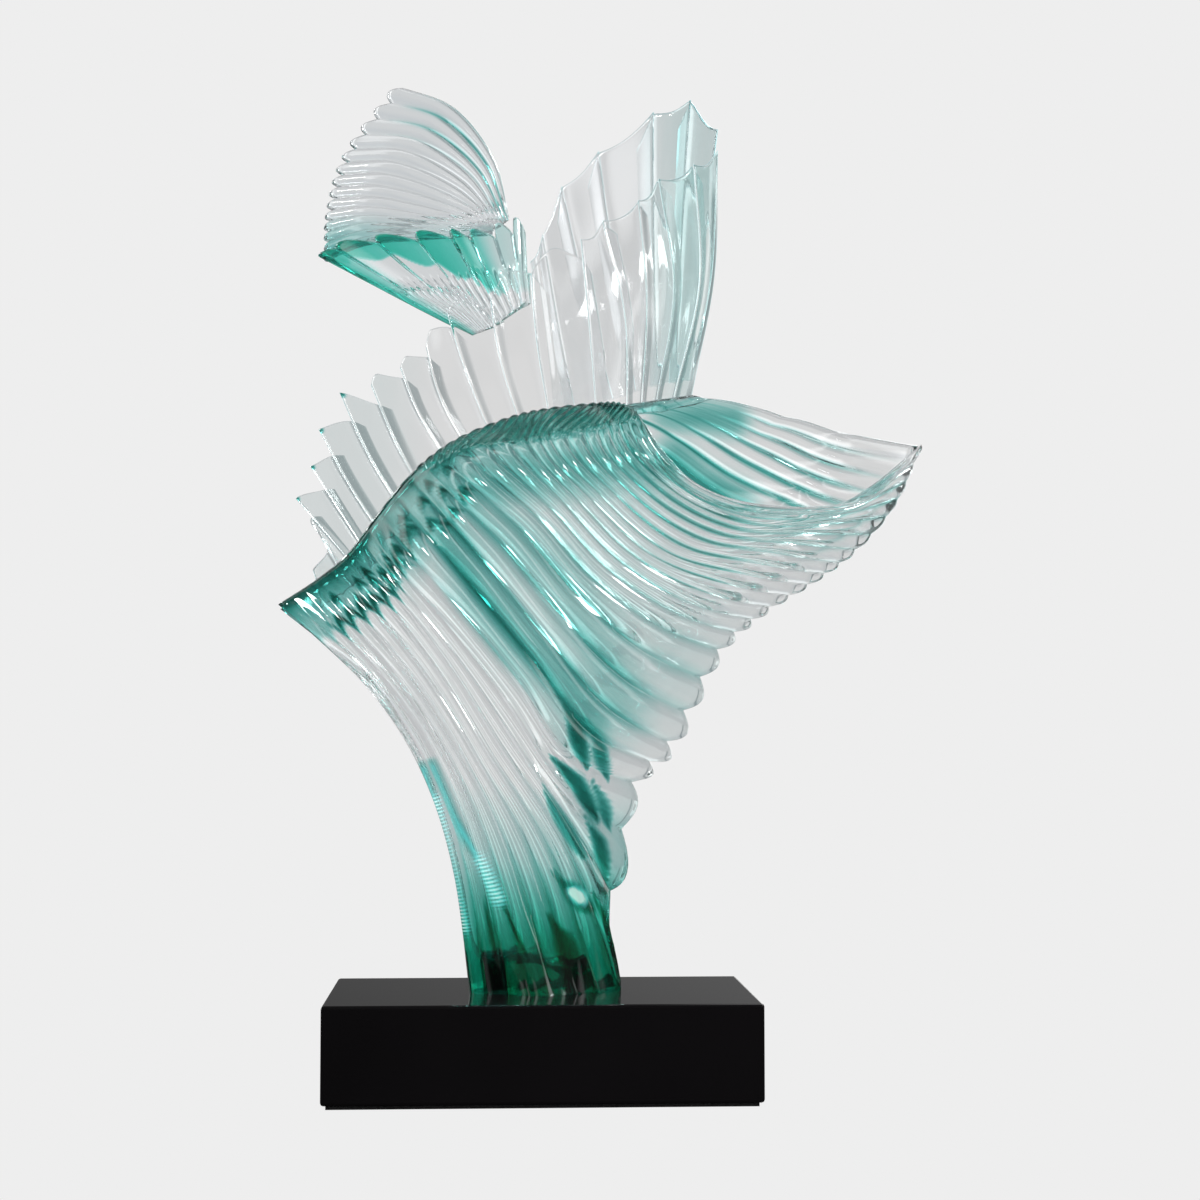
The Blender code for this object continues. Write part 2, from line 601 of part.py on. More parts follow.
for old in list(bpy.data.objects):
    bpy.data.objects.remove(old)
parts = bpy.data.collections.new("feather_fan_sculpture")
cutters = bpy.data.collections.new("cutters")
bpy.context.scene.collection.children.link(parts)
bpy.context.scene.collection.children.link(cutters)

make_plinth()
make_fixings(make_wing())
crest_tops = [POINTED_TOP] * POINTED_PLATES + [ROUNDED_TOP] * ROUNDED_PLATES
crest_tops += [LEAF_TOP] * LEAF_PLATES + [STEPPED_TOP] * STEPPED_PLATES
make_plates("crest_plate", crest_surface, crest_tops)
make_plates("petal_plate", petal_surface, [STEPPED_TOP] * PETAL_PLATES)
make_left_wing()
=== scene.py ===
# %% [markdown]
# # A clear and sea-green resin sculpture
# The sculpture is a set of pleated resin castings, bonded together and screwed to a black plinth.
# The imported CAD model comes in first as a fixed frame. Its hard parts, the plinth and the fixings,
# stay and only get a finish. The resin castings are made again here with rounded ribs and polished
# edges, each one in the place of its CAD node, because clear resin shows every flat facet.

# %% The fixed frame
import math

import bpy
import numpy as np
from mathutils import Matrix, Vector


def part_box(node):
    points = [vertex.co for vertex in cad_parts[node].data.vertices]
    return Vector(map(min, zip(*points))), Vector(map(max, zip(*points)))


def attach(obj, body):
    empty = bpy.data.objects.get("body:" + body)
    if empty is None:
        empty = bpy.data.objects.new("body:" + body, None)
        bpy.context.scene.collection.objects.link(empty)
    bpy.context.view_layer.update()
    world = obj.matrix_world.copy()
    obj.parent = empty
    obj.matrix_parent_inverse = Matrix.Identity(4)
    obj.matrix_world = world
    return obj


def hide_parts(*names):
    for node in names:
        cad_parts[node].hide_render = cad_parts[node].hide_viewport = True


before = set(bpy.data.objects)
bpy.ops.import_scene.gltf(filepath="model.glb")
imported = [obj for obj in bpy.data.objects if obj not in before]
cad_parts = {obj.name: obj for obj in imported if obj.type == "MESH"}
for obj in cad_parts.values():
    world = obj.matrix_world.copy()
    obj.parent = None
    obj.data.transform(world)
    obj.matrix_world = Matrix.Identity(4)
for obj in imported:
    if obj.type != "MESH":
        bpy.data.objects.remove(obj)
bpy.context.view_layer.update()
PLINTH_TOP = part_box("plinth_block")[1][2]
print("the resin stands on the plinth at", round(PLINTH_TOP, 4), "m")

# %% [markdown]
# ## The camera
# The picture was taken from a little above the middle of the plinth, looking slightly up, with a
# lens of about 65 mm on a full-frame camera. The plinth's top shows as a thin slanted strip, which
# fixes the height of the camera, and its two end edges fix the distance.

# %% Camera
LENS = 65.5
SENSOR = 36
CAMERA_PLACE = (-0.0333, -1.3646, 0.2173)
CAMERA_TILT = 93.56
CAMERA_TURN = -2.94

camera_data = bpy.data.cameras.new("camera")
camera_data.lens = LENS
camera_data.sensor_width = SENSOR
camera = bpy.data.objects.new("camera", camera_data)
camera.location = CAMERA_PLACE
camera.rotation_euler = (math.radians(CAMERA_TILT), 0, math.radians(CAMERA_TURN))
bpy.context.scene.collection.objects.link(camera)
bpy.context.scene.camera = camera
print("camera at", [round(v, 3) for v in camera.location])

# %% [markdown]
# ## The studio
# Clear resin has almost no colour of its own: what is seen in it is the room, bent and mirrored.
# A photographer stands cards round it, some pale and some dark. A rib bends the light to its left
# and right like a rod lens, so each card shows up as a thin line along its flank, and without
# them the ribs would vanish. Real cards would need a stand for every angle, so here they are
# upright strips in the world. Light that passes through the resin sees a bright surround with soft
# strips, and light that is mirrored in it sees a darker one with narrow bright cards. The camera
# sees plain paper behind the sculpture and under it, so that the background stays even.

# %% Helpers for objects and nodes
def deselect_all():
    """An operator acts on all that is selected, and loading the frame leaves its nodes selected."""
    if bpy.context.object and bpy.context.object.mode != "OBJECT":
        bpy.ops.object.mode_set(mode="OBJECT")
    bpy.ops.object.select_all(action="DESELECT")


def new_material(name):
    """A material, its node tree and its Principled shader."""
    material = bpy.data.materials.new(name)
    material.use_nodes = True
    return material, material.node_tree, material.node_tree.nodes["Principled BSDF"]


def feed(socket, value):
    """Links an input to another node's output, or sets it to a plain value."""
    if isinstance(value, bpy.types.NodeSocket):
        socket.id_data.links.new(value, socket)
    else:
        socket.default_value = value


def set_up(made, **values):
    """Sets a node up. A name with a capital is an input, with _ for a space. The rest are settings."""
    for name, value in values.items():
        if name[0].isupper():
            feed(made.inputs[name.replace("_", " ")], value)
        else:
            setattr(made, name, value)
    return made


def node(tree, kind, **values):
    """A new node of that kind, set up with those values."""
    return set_up(tree.nodes.new(kind), **values)


def math_node(tree, operation, *values):
    """The output of a maths node, with its inputs linked or set to plain numbers."""
    made = node(tree, "ShaderNodeMath", operation=operation)
    for socket, value in zip(made.inputs, values):
        feed(socket, value)
    return made.outputs[0]


def mixed(tree, factor, first, second, blend="MIX"):
    """The first colour, turning into the second as the factor grows."""
    made = node(tree, "ShaderNodeMix", data_type="RGBA", blend_type=blend, Factor=factor, A=first, B=second)
    return made.outputs["Result"]


def ramp(tree, factor, stops, interpolation="LINEAR"):
    """The colour at that factor between (position, colour) stops."""
    made = node(tree, "ShaderNodeValToRGB", Fac=factor)
    made.color_ramp.interpolation = interpolation
    elements = made.color_ramp.elements
    while len(elements) > 1:
        elements.remove(elements[-1])
    for position, colour in stops:
        stop = elements.new(position)
        stop.color = (*colour[:3], 1)
    elements.remove(elements[0])
    return made.outputs["Color"]


def grey(value):
    """A neutral colour of that brightness."""
    return (value, value, value, 1)


# %% Surround
PAPER = grey(0.855)
STRIPS_AROUND = 6
# Colours along a strip's wave, from its trough to its crest: what passes through, and what is mirrored
STRIPS = ((0.0, (0.34, 0.37, 0.38)), (0.12, (0.71, 0.715, 0.72)), (0.90, grey(0.72)), (1.0, grey(1.15)))
CARDS = ((0.0, grey(0.10)), (0.85, grey(0.20)), (0.96, grey(1.8)), (1.0, grey(2.6)))
# How the surround is tinted from the horizon up to straight above
HORIZON_UP = ((0.0, grey(1)), (0.25, grey(1)), (0.5, (0.90, 0.92, 0.94)), (0.75, grey(1)), (1.0, grey(1)))

world = bpy.data.worlds.new("surround")
world.use_nodes = True
tree = world.node_tree
direction = node(tree, "ShaderNodeTexCoord").outputs["Generated"]
split = node(tree, "ShaderNodeSeparateXYZ", Vector=direction).outputs
azimuth = math_node(tree, "ARCTAN2", split["X"], split["Y"])
wave = math_node(tree, "SINE", math_node(tree, "MULTIPLY", azimuth, STRIPS_AROUND))
wave = math_node(tree, "MULTIPLY_ADD", wave, 0.5, 0.5)
ray = node(tree, "ShaderNodeLightPath").outputs
around = mixed(tree, ray["Is Transmission Ray"], ramp(tree, wave, CARDS), ramp(tree, wave, STRIPS, "EASE"))
lit = mixed(tree, 1.0, around, ramp(tree, split["Z"], HORIZON_UP), blend="MULTIPLY")
set_up(tree.nodes["Background"], Color=mixed(tree, ray["Is Camera Ray"], lit, PAPER))
bpy.context.scene.world = world
bpy.context.scene.view_settings.view_transform = "Standard"
print("surround:", STRIPS_AROUND, "strips")

# %% Floor
FLOOR_SIZE = 8
FLOOR_MIRRORED = grey(0.10)
FLOOR_THROUGH_RESIN = (0.60, 0.60, 0.61, 1)

deselect_all()
bpy.ops.mesh.primitive_grid_add(x_subdivisions=4, y_subdivisions=4, size=FLOOR_SIZE, location=(0, 0, 0))
floor = bpy.context.object
floor.name = "floor"
paper, tree, shader = new_material("paper_floor")
tree.nodes.remove(shader)
ray = node(tree, "ShaderNodeLightPath").outputs
around = mixed(tree, ray["Is Transmission Ray"], FLOOR_MIRRORED, FLOOR_THROUGH_RESIN)
glow = node(tree, "ShaderNodeEmission", Color=mixed(tree, ray["Is Camera Ray"], around, PAPER))
set_up(tree.nodes["Material Output"], Surface=glow.outputs["Emission"])
floor.data.materials.append(paper)
print("floor:", FLOOR_SIZE, "m square")

# %% Soft boxes
# Azimuth in degrees, 0 in front of the sculpture, and power in watts
LAMPS = ((-38, 15), (52, 15), (142, 11), (-128, 11))
LAMP_SIDE = 0.35
LAMP_DISTANCE = 2.2
LAMP_HEIGHT = 1.9
LAMP_AIM = Vector((0.03, 0, 0.33))

for azimuth, power in LAMPS:
    turn = math.radians(azimuth)
    lamp_data = bpy.data.lights.new(f"soft_box_{azimuth}", "AREA")
    lamp_data.size = LAMP_SIDE
    lamp_data.energy = power
    lamp = bpy.data.objects.new(lamp_data.name, lamp_data)
    lamp.location = (LAMP_DISTANCE * math.sin(turn), -LAMP_DISTANCE * math.cos(turn), LAMP_HEIGHT)
    lamp.rotation_euler = (LAMP_AIM - lamp.location).to_track_quat("-Z", "Y").to_euler()
    lamp.visible_camera = False
    bpy.context.scene.collection.objects.link(lamp)
print("soft boxes:", len(LAMPS))

# %% [markdown]
# ## How a pleated casting is bent
# Every casting starts as a flat slab: a grid from the Add menu, extruded once to give it a back.
# The slab is then bent over a net of guide ribs. A guide rib is a short list of points, and a smooth
# curve through the same row of every guide gives the surface between them. Sculpting by hand would
# give the same shapes, but with twenty-nine ribs a net keeps them even and easy to change.
# A place on a net is a rib, k or s, and a row, t, from 0 at one end of the rib to 1 at the other.

# %% Smooth nets
STEP = 1e-3


def smooth_step(x, low, high):
    """0 below low, 1 above high, and a smooth rise between."""
    q = np.clip((x - low) / (high - low), 0, 1)
    return q * q * (3 - 2 * q)


def span_at(knots, x):
    """The span of knots that holds each x, its length and how far along it x lies."""
    i = np.clip(np.searchsorted(knots, x, side="right") - 1, 0, len(knots) - 2)
    step = knots[i + 1] - knots[i]
    return i, step, (x - knots[i]) / step


def hermite(start, end, start_slope, end_slope, step, q):
    """Cubic from start to end with the given slopes, q of the way along."""
    return (start * (1 - q) ** 2 * (1 + 2 * q) + start_slope * step * q * (1 - q) ** 2
            + end * q * q * (3 - 2 * q) - end_slope * step * q * q * (1 - q))


def through(knots, values, x):
    """Smooth curve through values at knots, read at the points x."""
    knots, values = np.asarray(knots, float), np.asarray(values, float)
    slopes = np.gradient(values, knots, axis=0)
    i, step, q = span_at(knots, x)
    shape = (-1,) + (1,) * (values.ndim - 1)
    return hermite(values[i], values[i + 1], slopes[i], slopes[i + 1],
                   step.reshape(shape), q.reshape(shape))


def net_point(guides, rows, net, k, t):
    """Points at rib k and row t of the smooth surface through a net of guide ribs."""
    across = through(guides, net, k)
    rows = np.asarray(rows, float)
    slopes = np.gradient(across, rows, axis=1)
    i, step, q = span_at(rows, t)
    n = np.arange(len(k))
    return hermite(across[n, i], across[n, i + 1], slopes[n, i], slopes[n, i + 1],
                   step[:, None], q[:, None])


# %% Normals, lobes and rounded edges
STACKING_PULL = (0, 2, 0)
THINNEST_EDGE = 0.03
LEAST_WALL = 0.0004


def fade(x, low, high):
    """1 below low, 0 above high, and a smooth fall between."""
    return 1 - smooth_step(x, low, high)


def unit(vectors):
    """The same directions, each of length 1."""
    return vectors / np.linalg.norm(vectors, axis=1, keepdims=True)


def back_normal(surface, k, t):
    """Unit normals of a surface, on the side away from the viewer."""
    across = surface(k + STEP, t) - surface(k - STEP, t)
    along = surface(k, t + STEP) - surface(k, t - STEP)
    normal = unit(np.cross(across, along))
    return normal * np.sign(normal[:, 1].mean())


def stacking_normal(surface, k, t):
    """Direction in which plates are stacked: the surface's normal, drawn towards straight back."""
    return unit(back_normal(surface, k, t) + STACKING_PULL)


def lobe(k):
    """0 in the groove between two ribs and 1 on a rib's crest."""
    return np.abs(np.sin(math.pi * k))


def round_over(distance, radius):
    """Share of the full thickness left at a distance from a rounded edge."""
    q = 1 - np.clip(distance / radius, 0, 1)
    return np.sqrt(np.clip(1 - q * q, 0, 1)) * (1 - THINNEST_EDGE) + THINNEST_EDGE


def rounded_ends(share, length, radius):
    """Share of the full thickness along that length, with an edge rounded over at both ends."""
    return round_over(share * length, radius) * round_over((1 - share) * length, radius)


def two_faces(w, near, far):
    """Depth of the near face where w is 0 and of the far face where it is 1, which never cross."""
    return np.where(w < 0.5, near, np.maximum(far, near + LEAST_WALL))


# %% The slab that is bent
SHARP_ANGLE = math.radians(55)
CROWDING = 0.8
castings = {}
flat_corners = {}


def crowded_ends(v):
    """Rows set closer together near both ends, where the edge is rounded."""
    return (1 - CROWDING) * v + CROWDING * (0.5 - 0.5 * np.cos(math.pi * v))


def bent_slab(name, columns, rows, place):
    """A flat slab of columns by rows faces, bent so that the corner (u, v, w) goes to place(u, v, w)."""
    deselect_all()
    bpy.ops.mesh.primitive_grid_add(x_subdivisions=columns, y_subdivisions=rows, size=1)
    slab = bpy.context.object
    slab.name = slab.data.name = name
    bpy.ops.object.mode_set(mode="EDIT")
    bpy.ops.mesh.select_all(action="SELECT")
    bpy.ops.mesh.extrude_region_move(TRANSFORM_OT_translate={"value": (0, 0, 1)})
    bpy.ops.object.mode_set(mode="OBJECT")
    corners = np.empty(len(slab.data.vertices) * 3)
    slab.data.vertices.foreach_get("co", corners)
    corners = corners.reshape(-1, 3)
    bent = place(corners[:, 0] + 0.5, corners[:, 1] + 0.5, corners[:, 2]) + (0, 0, PLINTH_TOP)
    slab.data.vertices.foreach_set("co", bent.ravel())
    bpy.ops.object.mode_set(mode="EDIT")
    bpy.ops.mesh.select_all(action="SELECT")
    bpy.ops.mesh.normals_make_consistent(inside=False)
    bpy.ops.object.mode_set(mode="OBJECT")
    bpy.ops.object.shade_smooth_by_angle(angle=SHARP_ANGLE)
    castings[name] = slab
    flat_corners[name] = corners + (0.5, 0.5, 0)


# %% [markdown]
# ## The wing
# The wing is two pleated walls with a hollow between them. They meet at the left edge, along the
# ridge and on the scalloped edge, and gape at the upper right, where one looks into a lens-shaped
# pocket. The front wall's guide ribs run from the ridge down to the foot and the scalloped edge.
# Each rib is thick along its middle and thin at its grooves, as a row of half-round glass rods is,
# so that it bends the light like a lens. The ribs fade out where they reach the plinth, and a
# combed band of fine slanted ribs lies on top of the ridge. Separate rods, one per rib, would show
# seams that the real casting doesn't have. In the foot a low core of deep green resin fills the
# space between the walls.

# %% Guide ribs of the front wall and of the hollow behind it
WING_RIBS = 29
FOOT_RIBS = 7
WALL_THICKNESS = 0.007
WALL_BOND = 0.0008
PLEAT_DEPTH = 0.0030
PLEAT_SHARE = 0.25
SCALLOP_SHARE = 0.036
SCALLOP_END = 0.012
FOOT_GAP = 0.0001
WING_GUIDES = (0, 3.5, 7, 9.5, 12, 15, 17.5, 20.5, 22.5, 25.5, 29)
WING_ROWS = (0.0, 0.1, 0.3, 0.55, 0.8, 1.0)
WING_NET = (
    ((-0.164, 0.004, 0.239), (-0.142, -0.004, 0.220), (-0.105, -0.010, 0.184),
     (-0.073, -0.014, 0.134), (-0.053, -0.013, 0.070), (-0.044, -0.008, FOOT_GAP)),
    ((-0.140, 0.007, 0.255), (-0.120, -0.006, 0.235), (-0.085, -0.016, 0.196),
     (-0.049, -0.023, 0.141), (-0.021, -0.026, 0.077), (0.000, -0.025, FOOT_GAP)),
    ((-0.120, 0.010, 0.273), (-0.097, -0.005, 0.252), (-0.063, -0.018, 0.211),
     (-0.026, -0.027, 0.154), (0.018, -0.024, 0.084), (0.048, -0.004, FOOT_GAP)),
    ((-0.105, 0.012, 0.293), (-0.091, -0.005, 0.272), (-0.057, -0.021, 0.233),
     (-0.018, -0.030, 0.185), (0.018, -0.026, 0.135), (0.059, -0.008, 0.114)),
    ((-0.083, 0.013, 0.321), (-0.066, -0.005, 0.300), (-0.034, -0.024, 0.262),
     (0.003, -0.034, 0.216), (0.043, -0.027, 0.173), (0.085, -0.012, 0.150)),
    ((-0.053, 0.013, 0.343), (-0.044, -0.006, 0.329), (-0.005, -0.027, 0.293),
     (0.031, -0.036, 0.253), (0.075, -0.028, 0.223), (0.114, -0.014, 0.209)),
    ((-0.023, 0.014, 0.357), (-0.011, -0.007, 0.335), (0.016, -0.028, 0.302),
     (0.052, -0.038, 0.265), (0.097, -0.029, 0.242), (0.139, -0.015, 0.233)),
    ((0.006, 0.014, 0.364), (0.011, -0.008, 0.340), (0.038, -0.028, 0.306),
     (0.079, -0.039, 0.271), (0.131, -0.031, 0.260), (0.173, -0.015, 0.255)),
    ((0.031, 0.014, 0.367), (0.032, -0.008, 0.343), (0.056, -0.028, 0.308),
     (0.099, -0.039, 0.279), (0.150, -0.032, 0.273), (0.192, -0.015, 0.269)),
    ((0.050, 0.012, 0.367), (0.052, -0.009, 0.345), (0.078, -0.028, 0.311),
     (0.123, -0.039, 0.289), (0.175, -0.031, 0.291), (0.220, -0.013, 0.300)),
    ((0.062, 0.006, 0.358), (0.072, -0.008, 0.338), (0.096, -0.026, 0.310),
     (0.139, -0.036, 0.298), (0.199, -0.026, 0.306), (0.240, -0.006, 0.341)),
)
HOLLOW_GUIDES = (0, 1.7, 3.5, 7, 9, 12, 15.5, 22, 26, 29)
HOLLOW_NET = (
    ((0, 0, 0), (0, 0, 0), (0, 0, 0), (0, 0.005, 0), (0, 0.013, 0), (0, 0.018, 0)),
    ((0, 0, 0), (0, 0.006, 0.001), (0, 0.014, 0), (0, 0.026, 0), (0, 0.034, 0), (0, 0.037, 0)),
    ((0, 0, 0), (0, 0.016, 0.004), (0, 0.034, 0), (0, 0.042, 0), (0, 0.044, 0), (0, 0.044, 0)),
    ((0, 0, 0), (0, 0.018, 0.005), (0, 0.040, 0), (0, 0.048, 0), (0, 0.036, 0), (0, 0.008, 0)),
    ((0, 0, 0), (0, 0.020, 0.006), (0, 0.044, 0), (0, 0.052, 0), (0, 0.034, 0), (0, 0, 0)),
    ((0, 0, 0), (0, 0.021, 0.008), (0, 0.046, 0), (0, 0.056, 0), (0, 0.036, 0), (0, 0, 0)),
    ((0, 0, 0), (0, 0.022, 0.010), (0, 0.050, 0.006), (0, 0.060, 0.004), (0, 0.038, 0.002), (0, 0, 0)),
    ((0, 0, 0), (0.006, 0.028, 0.018), (0.010, 0.056, 0.034), (0.008, 0.064, 0.028),
     (0.004, 0.042, 0.012), (0, 0, 0)),
    ((0.008, 0.006, 0.006), (0.020, 0.034, 0.030), (0.028, 0.061, 0.053), (0.022, 0.070, 0.050),
     (0.006, 0.048, 0.026), (0, 0.0006, 0)),
    ((0.017, 0.012, 0.014), (0.031, 0.038, 0.042), (0.045, 0.064, 0.067), (0.034, 0.074, 0.066),
     (0.007, 0.052, 0.045), (0, 0.0012, 0)),
)
print("front wall:", len(WING_NET), "guide ribs carry", WING_RIBS, "ribs")

# %% Where the two walls run
# Each pair is a range of rows or ribs over which something comes in or fades out
STANDING_ROWS = (0.8, 1.0)
STANDING_RIBS = (FOOT_RIBS, FOOT_RIBS + 2)
EDGE_RIBS = (FOOT_RIBS, FOOT_RIBS + 2.5)
RIM_RIBS = (WING_RIBS - 1, WING_RIBS)
TIP_RIBS = (24, 28)
TIP_ROWS = (0.42, 0.74)
TIP_PULL = (0, 4, 0)
GAPING_RIBS = (20, 26.5)
CLOSING_ROWS = (0.725, 0.945)


def front_middle(k, t):
    """Middle of the front wall, without its pleats."""
    return net_point(WING_GUIDES, WING_ROWS, WING_NET, k, t)


def wall_normal(surface, k, t):
    """Normal of a wing wall, laid level at the foot so that the foot stands flat."""
    normal = back_normal(surface, k, t)
    normal[:, 2] *= 1 - smooth_step(t, *STANDING_ROWS) * fade(k, *STANDING_RIBS)
    return unit(normal)


def back_middle(k, t):
    """Middle of the back wall: it nests behind the front wall and stands off it by the hollow."""
    at_tip = smooth_step(k, *TIP_RIBS) * smooth_step(t, *TIP_ROWS)
    nest = unit(wall_normal(front_middle, k, t) + at_tip[:, None] * TIP_PULL)
    closed = smooth_step(k, *EDGE_RIBS) * fade(k, *GAPING_RIBS) * smooth_step(t, *CLOSING_ROWS)
    hollow = net_point(HOLLOW_GUIDES, WING_ROWS, HOLLOW_NET, k, t) * (1 - closed)[:, None]
    return front_middle(k, t) + nest * (WALL_THICKNESS + WALL_BOND) + hollow


# %% Rib ends: the foot, the scallops and the waist between them
RIB_LENGTH = 0.24
RIB_WIDTH = 0.009
EDGE_RADIUS = 0.0035
FOOT_BLEND = 0.3
SCALLOP_RIBS = (12, 20)
FLATTER_RIBS = (21, 25)
FLATTENING = 0.7
WAIST = 0.07
WAIST_RIB = 7.6
WAIST_SPREAD = 0.7
WAIST_RIBS = (FOOT_RIBS, FOOT_RIBS + 0.4)


def standing(points):
    """The same points, with none below the face that stands on the plinth."""
    points[:, 2] = np.maximum(points[:, 2], FOOT_GAP)
    return points


def free_edge(k):
    """1 on the ribs that end on the scalloped edge, and 0 on those of the foot and on the rim."""
    return smooth_step(k, *EDGE_RIBS) * fade(k, *RIM_RIBS)


def wing_coordinates(u, v):
    """Rib k, row t and share of full thickness at each corner of a wall's slab."""
    k = u * WING_RIBS
    t = crowded_ends(v)
    foot = fade(k, FOOT_RIBS - FOOT_BLEND, FOOT_RIBS + FOOT_BLEND)
    low_end = np.where(foot > 0, 1, round_over((1 - t) * RIB_LENGTH, EDGE_RADIUS))
    full = round_over(t * RIB_LENGTH, EDGE_RADIUS) * low_end
    full = full * rounded_ends(u, WING_RIBS * RIB_WIDTH, EDGE_RADIUS)
    share = SCALLOP_SHARE + (SCALLOP_END - SCALLOP_SHARE) * smooth_step(k, *SCALLOP_RIBS)
    share = share * (1 - FLATTENING * smooth_step(k, *FLATTER_RIBS))
    waist = WAIST * np.exp(-((k - WAIST_RIB) / WAIST_SPREAD) ** 2) * smooth_step(k, *WAIST_RIBS)
    return k, t * (1 - share * free_edge(k) * (1 - lobe(k)) - waist), full


# %% Relief: the pleats and the combed ridge
LEAST_PLEAT = 0.0006
RIDGE_RISE = 0.08
RIDGE_ROWS = (0.03, 0.20)
PLINTH_FADE = 0.75
PLINTH_ROWS = (0.84, 0.96)
PLINTH_RIBS = (FOOT_RIBS, FOOT_RIBS + 1)
COMB_START = 12.5
COMB_LENGTH = 15.5
COMB_WIDTH = 0.088
COMB_BEFORE = 0.006
COMB_AFTER = 0.004
COMB_RELIEF = 0.0014
COMB_TEETH_PER_RIB = 1.5
COMB_TEETH_ALONG = 45
EDGE_THINNING = 0.45
EDGE_ROWS = (0.80, 1.0)
FRONT_GROOVE = 0.6
BACK_GROOVE = 0.7
BACK_INNER_RIB = 0.2
BACK_ROWS = (0.12, 0.40)


def rib_width(surface, k, t):
    """Width of a rib there: how far apart the grooves on its two sides are."""
    across = (surface(k + STEP, t) - surface(k - STEP, t)) / (2 * STEP)
    along = unit(surface(k, t + STEP) - surface(k, t - STEP))
    return np.linalg.norm(across - along * (across * along).sum(axis=1, keepdims=True), axis=1)


def rib_rise(surface, k, t):
    """Height of the ribs: wide ones swell more, and all fade at the ridge and towards the plinth."""
    height = np.clip(PLEAT_SHARE * rib_width(surface, k, t), LEAST_PLEAT, PLEAT_DEPTH)
    from_ridge = RIDGE_RISE + (1 - RIDGE_RISE) * smooth_step(t, *RIDGE_ROWS)
    at_plinth = smooth_step(t, *PLINTH_ROWS) * fade(k, *PLINTH_RIBS)
    return from_ridge * (1 - PLINTH_FADE * at_plinth) * height


def ridge_band(k, t):
    """1 in the combed band along the top of the ridge, which is widest in its middle."""
    along = np.clip((k - COMB_START) / COMB_LENGTH, 0, 1)
    border = COMB_WIDTH * np.sqrt(np.sin(math.pi * along))
    return fade(t, border - COMB_BEFORE, border + COMB_AFTER)


def comb(k, t):
    """Fine slanted ribs, from 0 to 1."""
    return 0.5 + 0.5 * np.sin(2 * math.pi * (COMB_TEETH_PER_RIB * k + COMB_TEETH_ALONG * t))


def thinning(k, t):
    """Both walls thin out towards the scalloped edge."""
    return 1 - EDGE_THINNING * smooth_step(t, *EDGE_ROWS) * free_edge(k)


def front_wall_depth(k, t, w, full):
    """How far the front wall's faces lie from its middle: both swell along each rib, as in a lens."""
    rise = rib_rise(front_middle, k, t) * (1 - ridge_band(k, t)) * thinning(k, t)
    front = -(WALL_THICKNESS / 2) * full - rise * lobe(k) - COMB_RELIEF * ridge_band(k, t) * comb(k, t)
    back = (WALL_THICKNESS / 2) * full - rise * (1 - lobe(k)) * FRONT_GROOVE * full
    return two_faces(w, front, back)


def back_wall_depth(k, t, w, full):
    """The same for the back wall, which is nearly plain inside and ribbed outside."""
    rise = rib_rise(back_middle, k, t) * smooth_step(t, *BACK_ROWS) * thinning(k, t)
    inside = -(WALL_THICKNESS / 2) * full - BACK_INNER_RIB * rise * lobe(k)
    outside = (WALL_THICKNESS / 2) * full - rise * (1 - lobe(k)) * BACK_GROOVE * full
    return two_faces(w, inside, outside)


# %% Bending the two walls
COLUMNS_PER_RIB = 10
WALL_ROWS = 110


def wall_place(middle, wall_depth):
    """Where the corners of a wing wall go."""
    def place(u, v, w):
        k, t, full = wing_coordinates(u, v)
        depth = wall_depth(k, t, w, full * thinning(k, t))
        return standing(middle(k, t) + wall_normal(middle, k, t) * depth[:, None])
    return place


for name, middle, wall_depth in (("wing_front_casting", front_middle, front_wall_depth),
                                 ("wing_back_casting", back_middle, back_wall_depth)):
    bent_slab(name, WING_RIBS * COLUMNS_PER_RIB, WALL_ROWS, wall_place(middle, wall_depth))
    print(name, "has", len(castings[name].data.polygons), "faces")

# %% The core of the foot
CORE_RIBS = (0.5, 6.3)
CORE_TOP_ROW = 0.93
CORE_LENGTH = 0.09
CORE_HEIGHT = 0.027
CORE_ROUNDING = 0.010
CORE_GAP = 0.0011
CORE_COLUMNS = 60
CORE_ROWS = 24


def foot_core_place(u, v, w):
    """A low block between the two walls. It follows both and is rounded over at its top and ends."""
    v = crowded_ends(v)
    k = CORE_RIBS[0] + (CORE_RIBS[1] - CORE_RIBS[0]) * crowded_ends(u)
    t = 1 - (1 - CORE_TOP_ROW) * v
    stand_off = WALL_THICKNESS / 2 + CORE_GAP
    front = front_middle(k, t) + wall_normal(front_middle, k, t) * stand_off
    back = back_middle(k, t) - wall_normal(back_middle, k, t) * stand_off
    full = round_over((1 - v) * CORE_HEIGHT, CORE_ROUNDING) * rounded_ends(u, CORE_LENGTH, CORE_ROUNDING)
    share = 0.5 + (w - 0.5) * full
    return standing(front + (back - front) * share[:, None])


bent_slab("foot_core_casting", CORE_COLUMNS, CORE_ROWS, foot_core_place)

# %% [markdown]
# ## The crest and the petal
# Behind the ridge stands a row of thin feather plates, dealt out like a hand of cards: the left edge
# of each plate lies in front of the plate before it. The first six end in points, the next four are
# rounded, two are leaf-shaped and the last five have stepped tops. A second, taller layer behind
# them makes the petal at the upper right. One sheet with grooves would be simpler, but one bent
# strip per plate gives each its own polished edges, which catch the light as bright lines.

